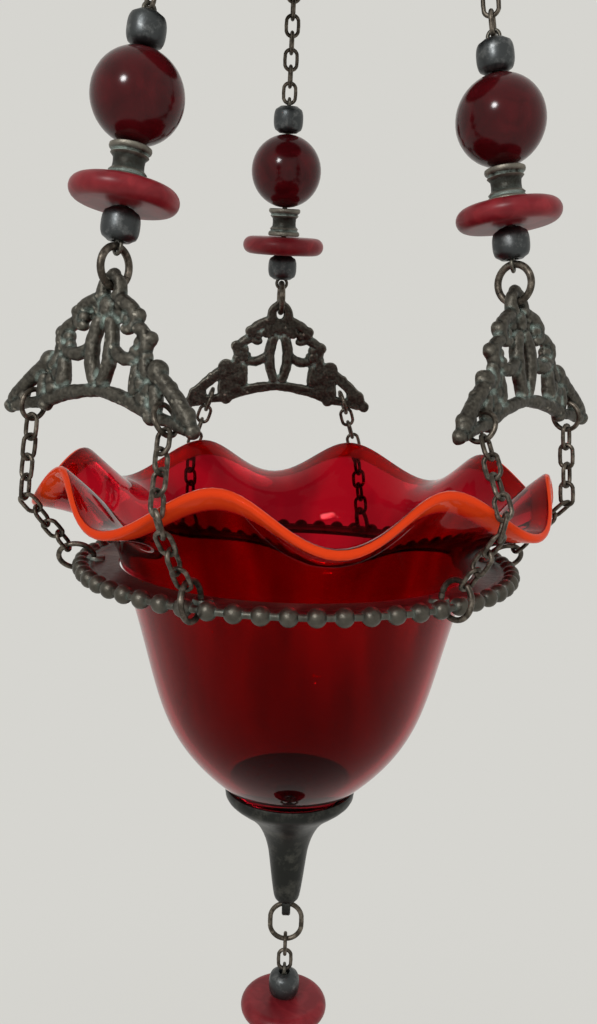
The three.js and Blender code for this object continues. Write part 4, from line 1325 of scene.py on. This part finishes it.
for master, node, piece, body, slot, look in (
    (topBarrel, "pendant_bead", "pendantBarrel", "pendant", "dark_beads", brass),
    (disc, "pendant_disc", "pendantDisc", "pendant_disc", "ruby_beads", discGlass),
    (topBarrel, "pendant_end_bead", "endBarrel", "pendant", "dark_beads", brass),
):
    low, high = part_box(node)
    where = Matrix.Translation((0, 0, (low.z + high.z) / 2))
    finishPiece(placePiece(copyPiece(master, piece), where), body, slot, look, node)
print("pendant hung")

# Crown and hanging ring
hangingHole, _ = jointNamed("lamp_swing")
crownEdge = max(math.hypot(point.x, point.y) for point in nodePoints("crown")) / mm
stringAngles = [math.atan2(*reversed(jointNamed(f"ball_{number}_spin")[0].xy)) for number in (1, 2, 3)]
crownDish = crownPiece(crownEdge - crownSizes["rolledEdge"], stringAngles)
placePiece(crownDish, Matrix.Translation(hangingHole))
finishPiece(crownDish, "lamp", "cast_patina", bronze, "crown")
low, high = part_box("hanging_ring")
hangingPlace = Matrix.Translation((0, 0, (low.z + high.z) / 2)) @ Matrix.Rotation(math.pi / 2, 4, "Z")
hangingOuter = (high.z - low.z) / mm
hangingLoop = placePiece(jumpRing("hangingLoop", hangingOuter, jumpSizes["hangingWire"]), hangingPlace)
finishPiece(hangingLoop, "hanger", "cast_patina", bronze, "hanging_ring")
deletePieces(*masters)

# Stage and light, in metres
stageSizes = {"floorHeight": -0.62, "floorRadius": 2.6, "rimWidth": 0.4, "rimRise": 0.02}


def makeStage():
    s = stageSizes
    deselectAll()
    bpy.ops.mesh.primitive_circle_add(vertices=96, radius=s["floorRadius"], fill_type="NGON",
                                      location=(0, 0, s["floorHeight"]))
    floor = newPiece("floor")
    applyPlace()
    editMode(True)
    bpy.ops.mesh.select_all(action="SELECT")
    bpy.ops.mesh.inset(thickness=s["rimWidth"])
    pick("EDGE", lambda edge: edge.is_boundary)
    bpy.ops.transform.translate(value=(0, 0, s["rimRise"]))
    editMode(False)
    floor.data.materials.append(palePlaster())


# Soft light of the room, from all round
roomLight = {"colour": "#F4F2EE", "strength": 0.42}


def makeWorld():
    world = bpy.data.worlds.new("paleRoom")
    bpy.context.scene.world = world
    world.use_nodes = True
    tree = world.node_tree
    tree.nodes.clear()
    light = addNode(tree, "ShaderNodeBackground", None,
                    {"Color": colour(roomLight["colour"]), "Strength": roomLight["strength"]})
    wall = addNode(tree, "ShaderNodeBackground", None,
                   {"Color": colour(plasterLook["wall"]), "Strength": 1.0})
    both = addNode(tree, "ShaderNodeMixShader", None,
                   {0: shownRays(tree), 1: light.outputs["Background"], 2: wall.outputs["Background"]})
    output = addNode(tree, "ShaderNodeOutputWorld")
    tree.links.new(both.outputs["Shader"], output.inputs["Surface"])


# Only the key light shows in the glosses
lamps = {
    "keyLight": {"place": (-0.45, -0.95, 0.35), "aim": (0, 0, -0.2), "size": 0.22, "power": 7.0,
                 "glossy": True},
    "fillLight": {"place": (0.8, -0.6, -0.05), "aim": (0, 0, -0.25), "size": 0.7, "power": 3.0,
                  "glossy": False},
    "backLight": {"place": (0.35, 0.9, 0.4), "aim": (0, 0, -0.25), "size": 0.6, "power": 4.0,
                  "glossy": False},
}


def makeLamps():
    for name, s in lamps.items():
        place = Vector(s["place"])
        bpy.ops.object.light_add(type="AREA", location=place)
        lamp = bpy.context.object
        lamp.name = name
        lamp.data.shape = "DISK"
        lamp.data.size = s["size"]
        lamp.data.energy = s["power"]
        lamp.visible_glossy = s["glossy"]
        lamp.rotation_euler = (place - Vector(s["aim"])).to_track_quat("Z", "Y").to_euler()


makeStage()
makeWorld()
makeLamps()
bpy.context.scene.view_settings.view_transform = "Standard"
print("stage and light made")
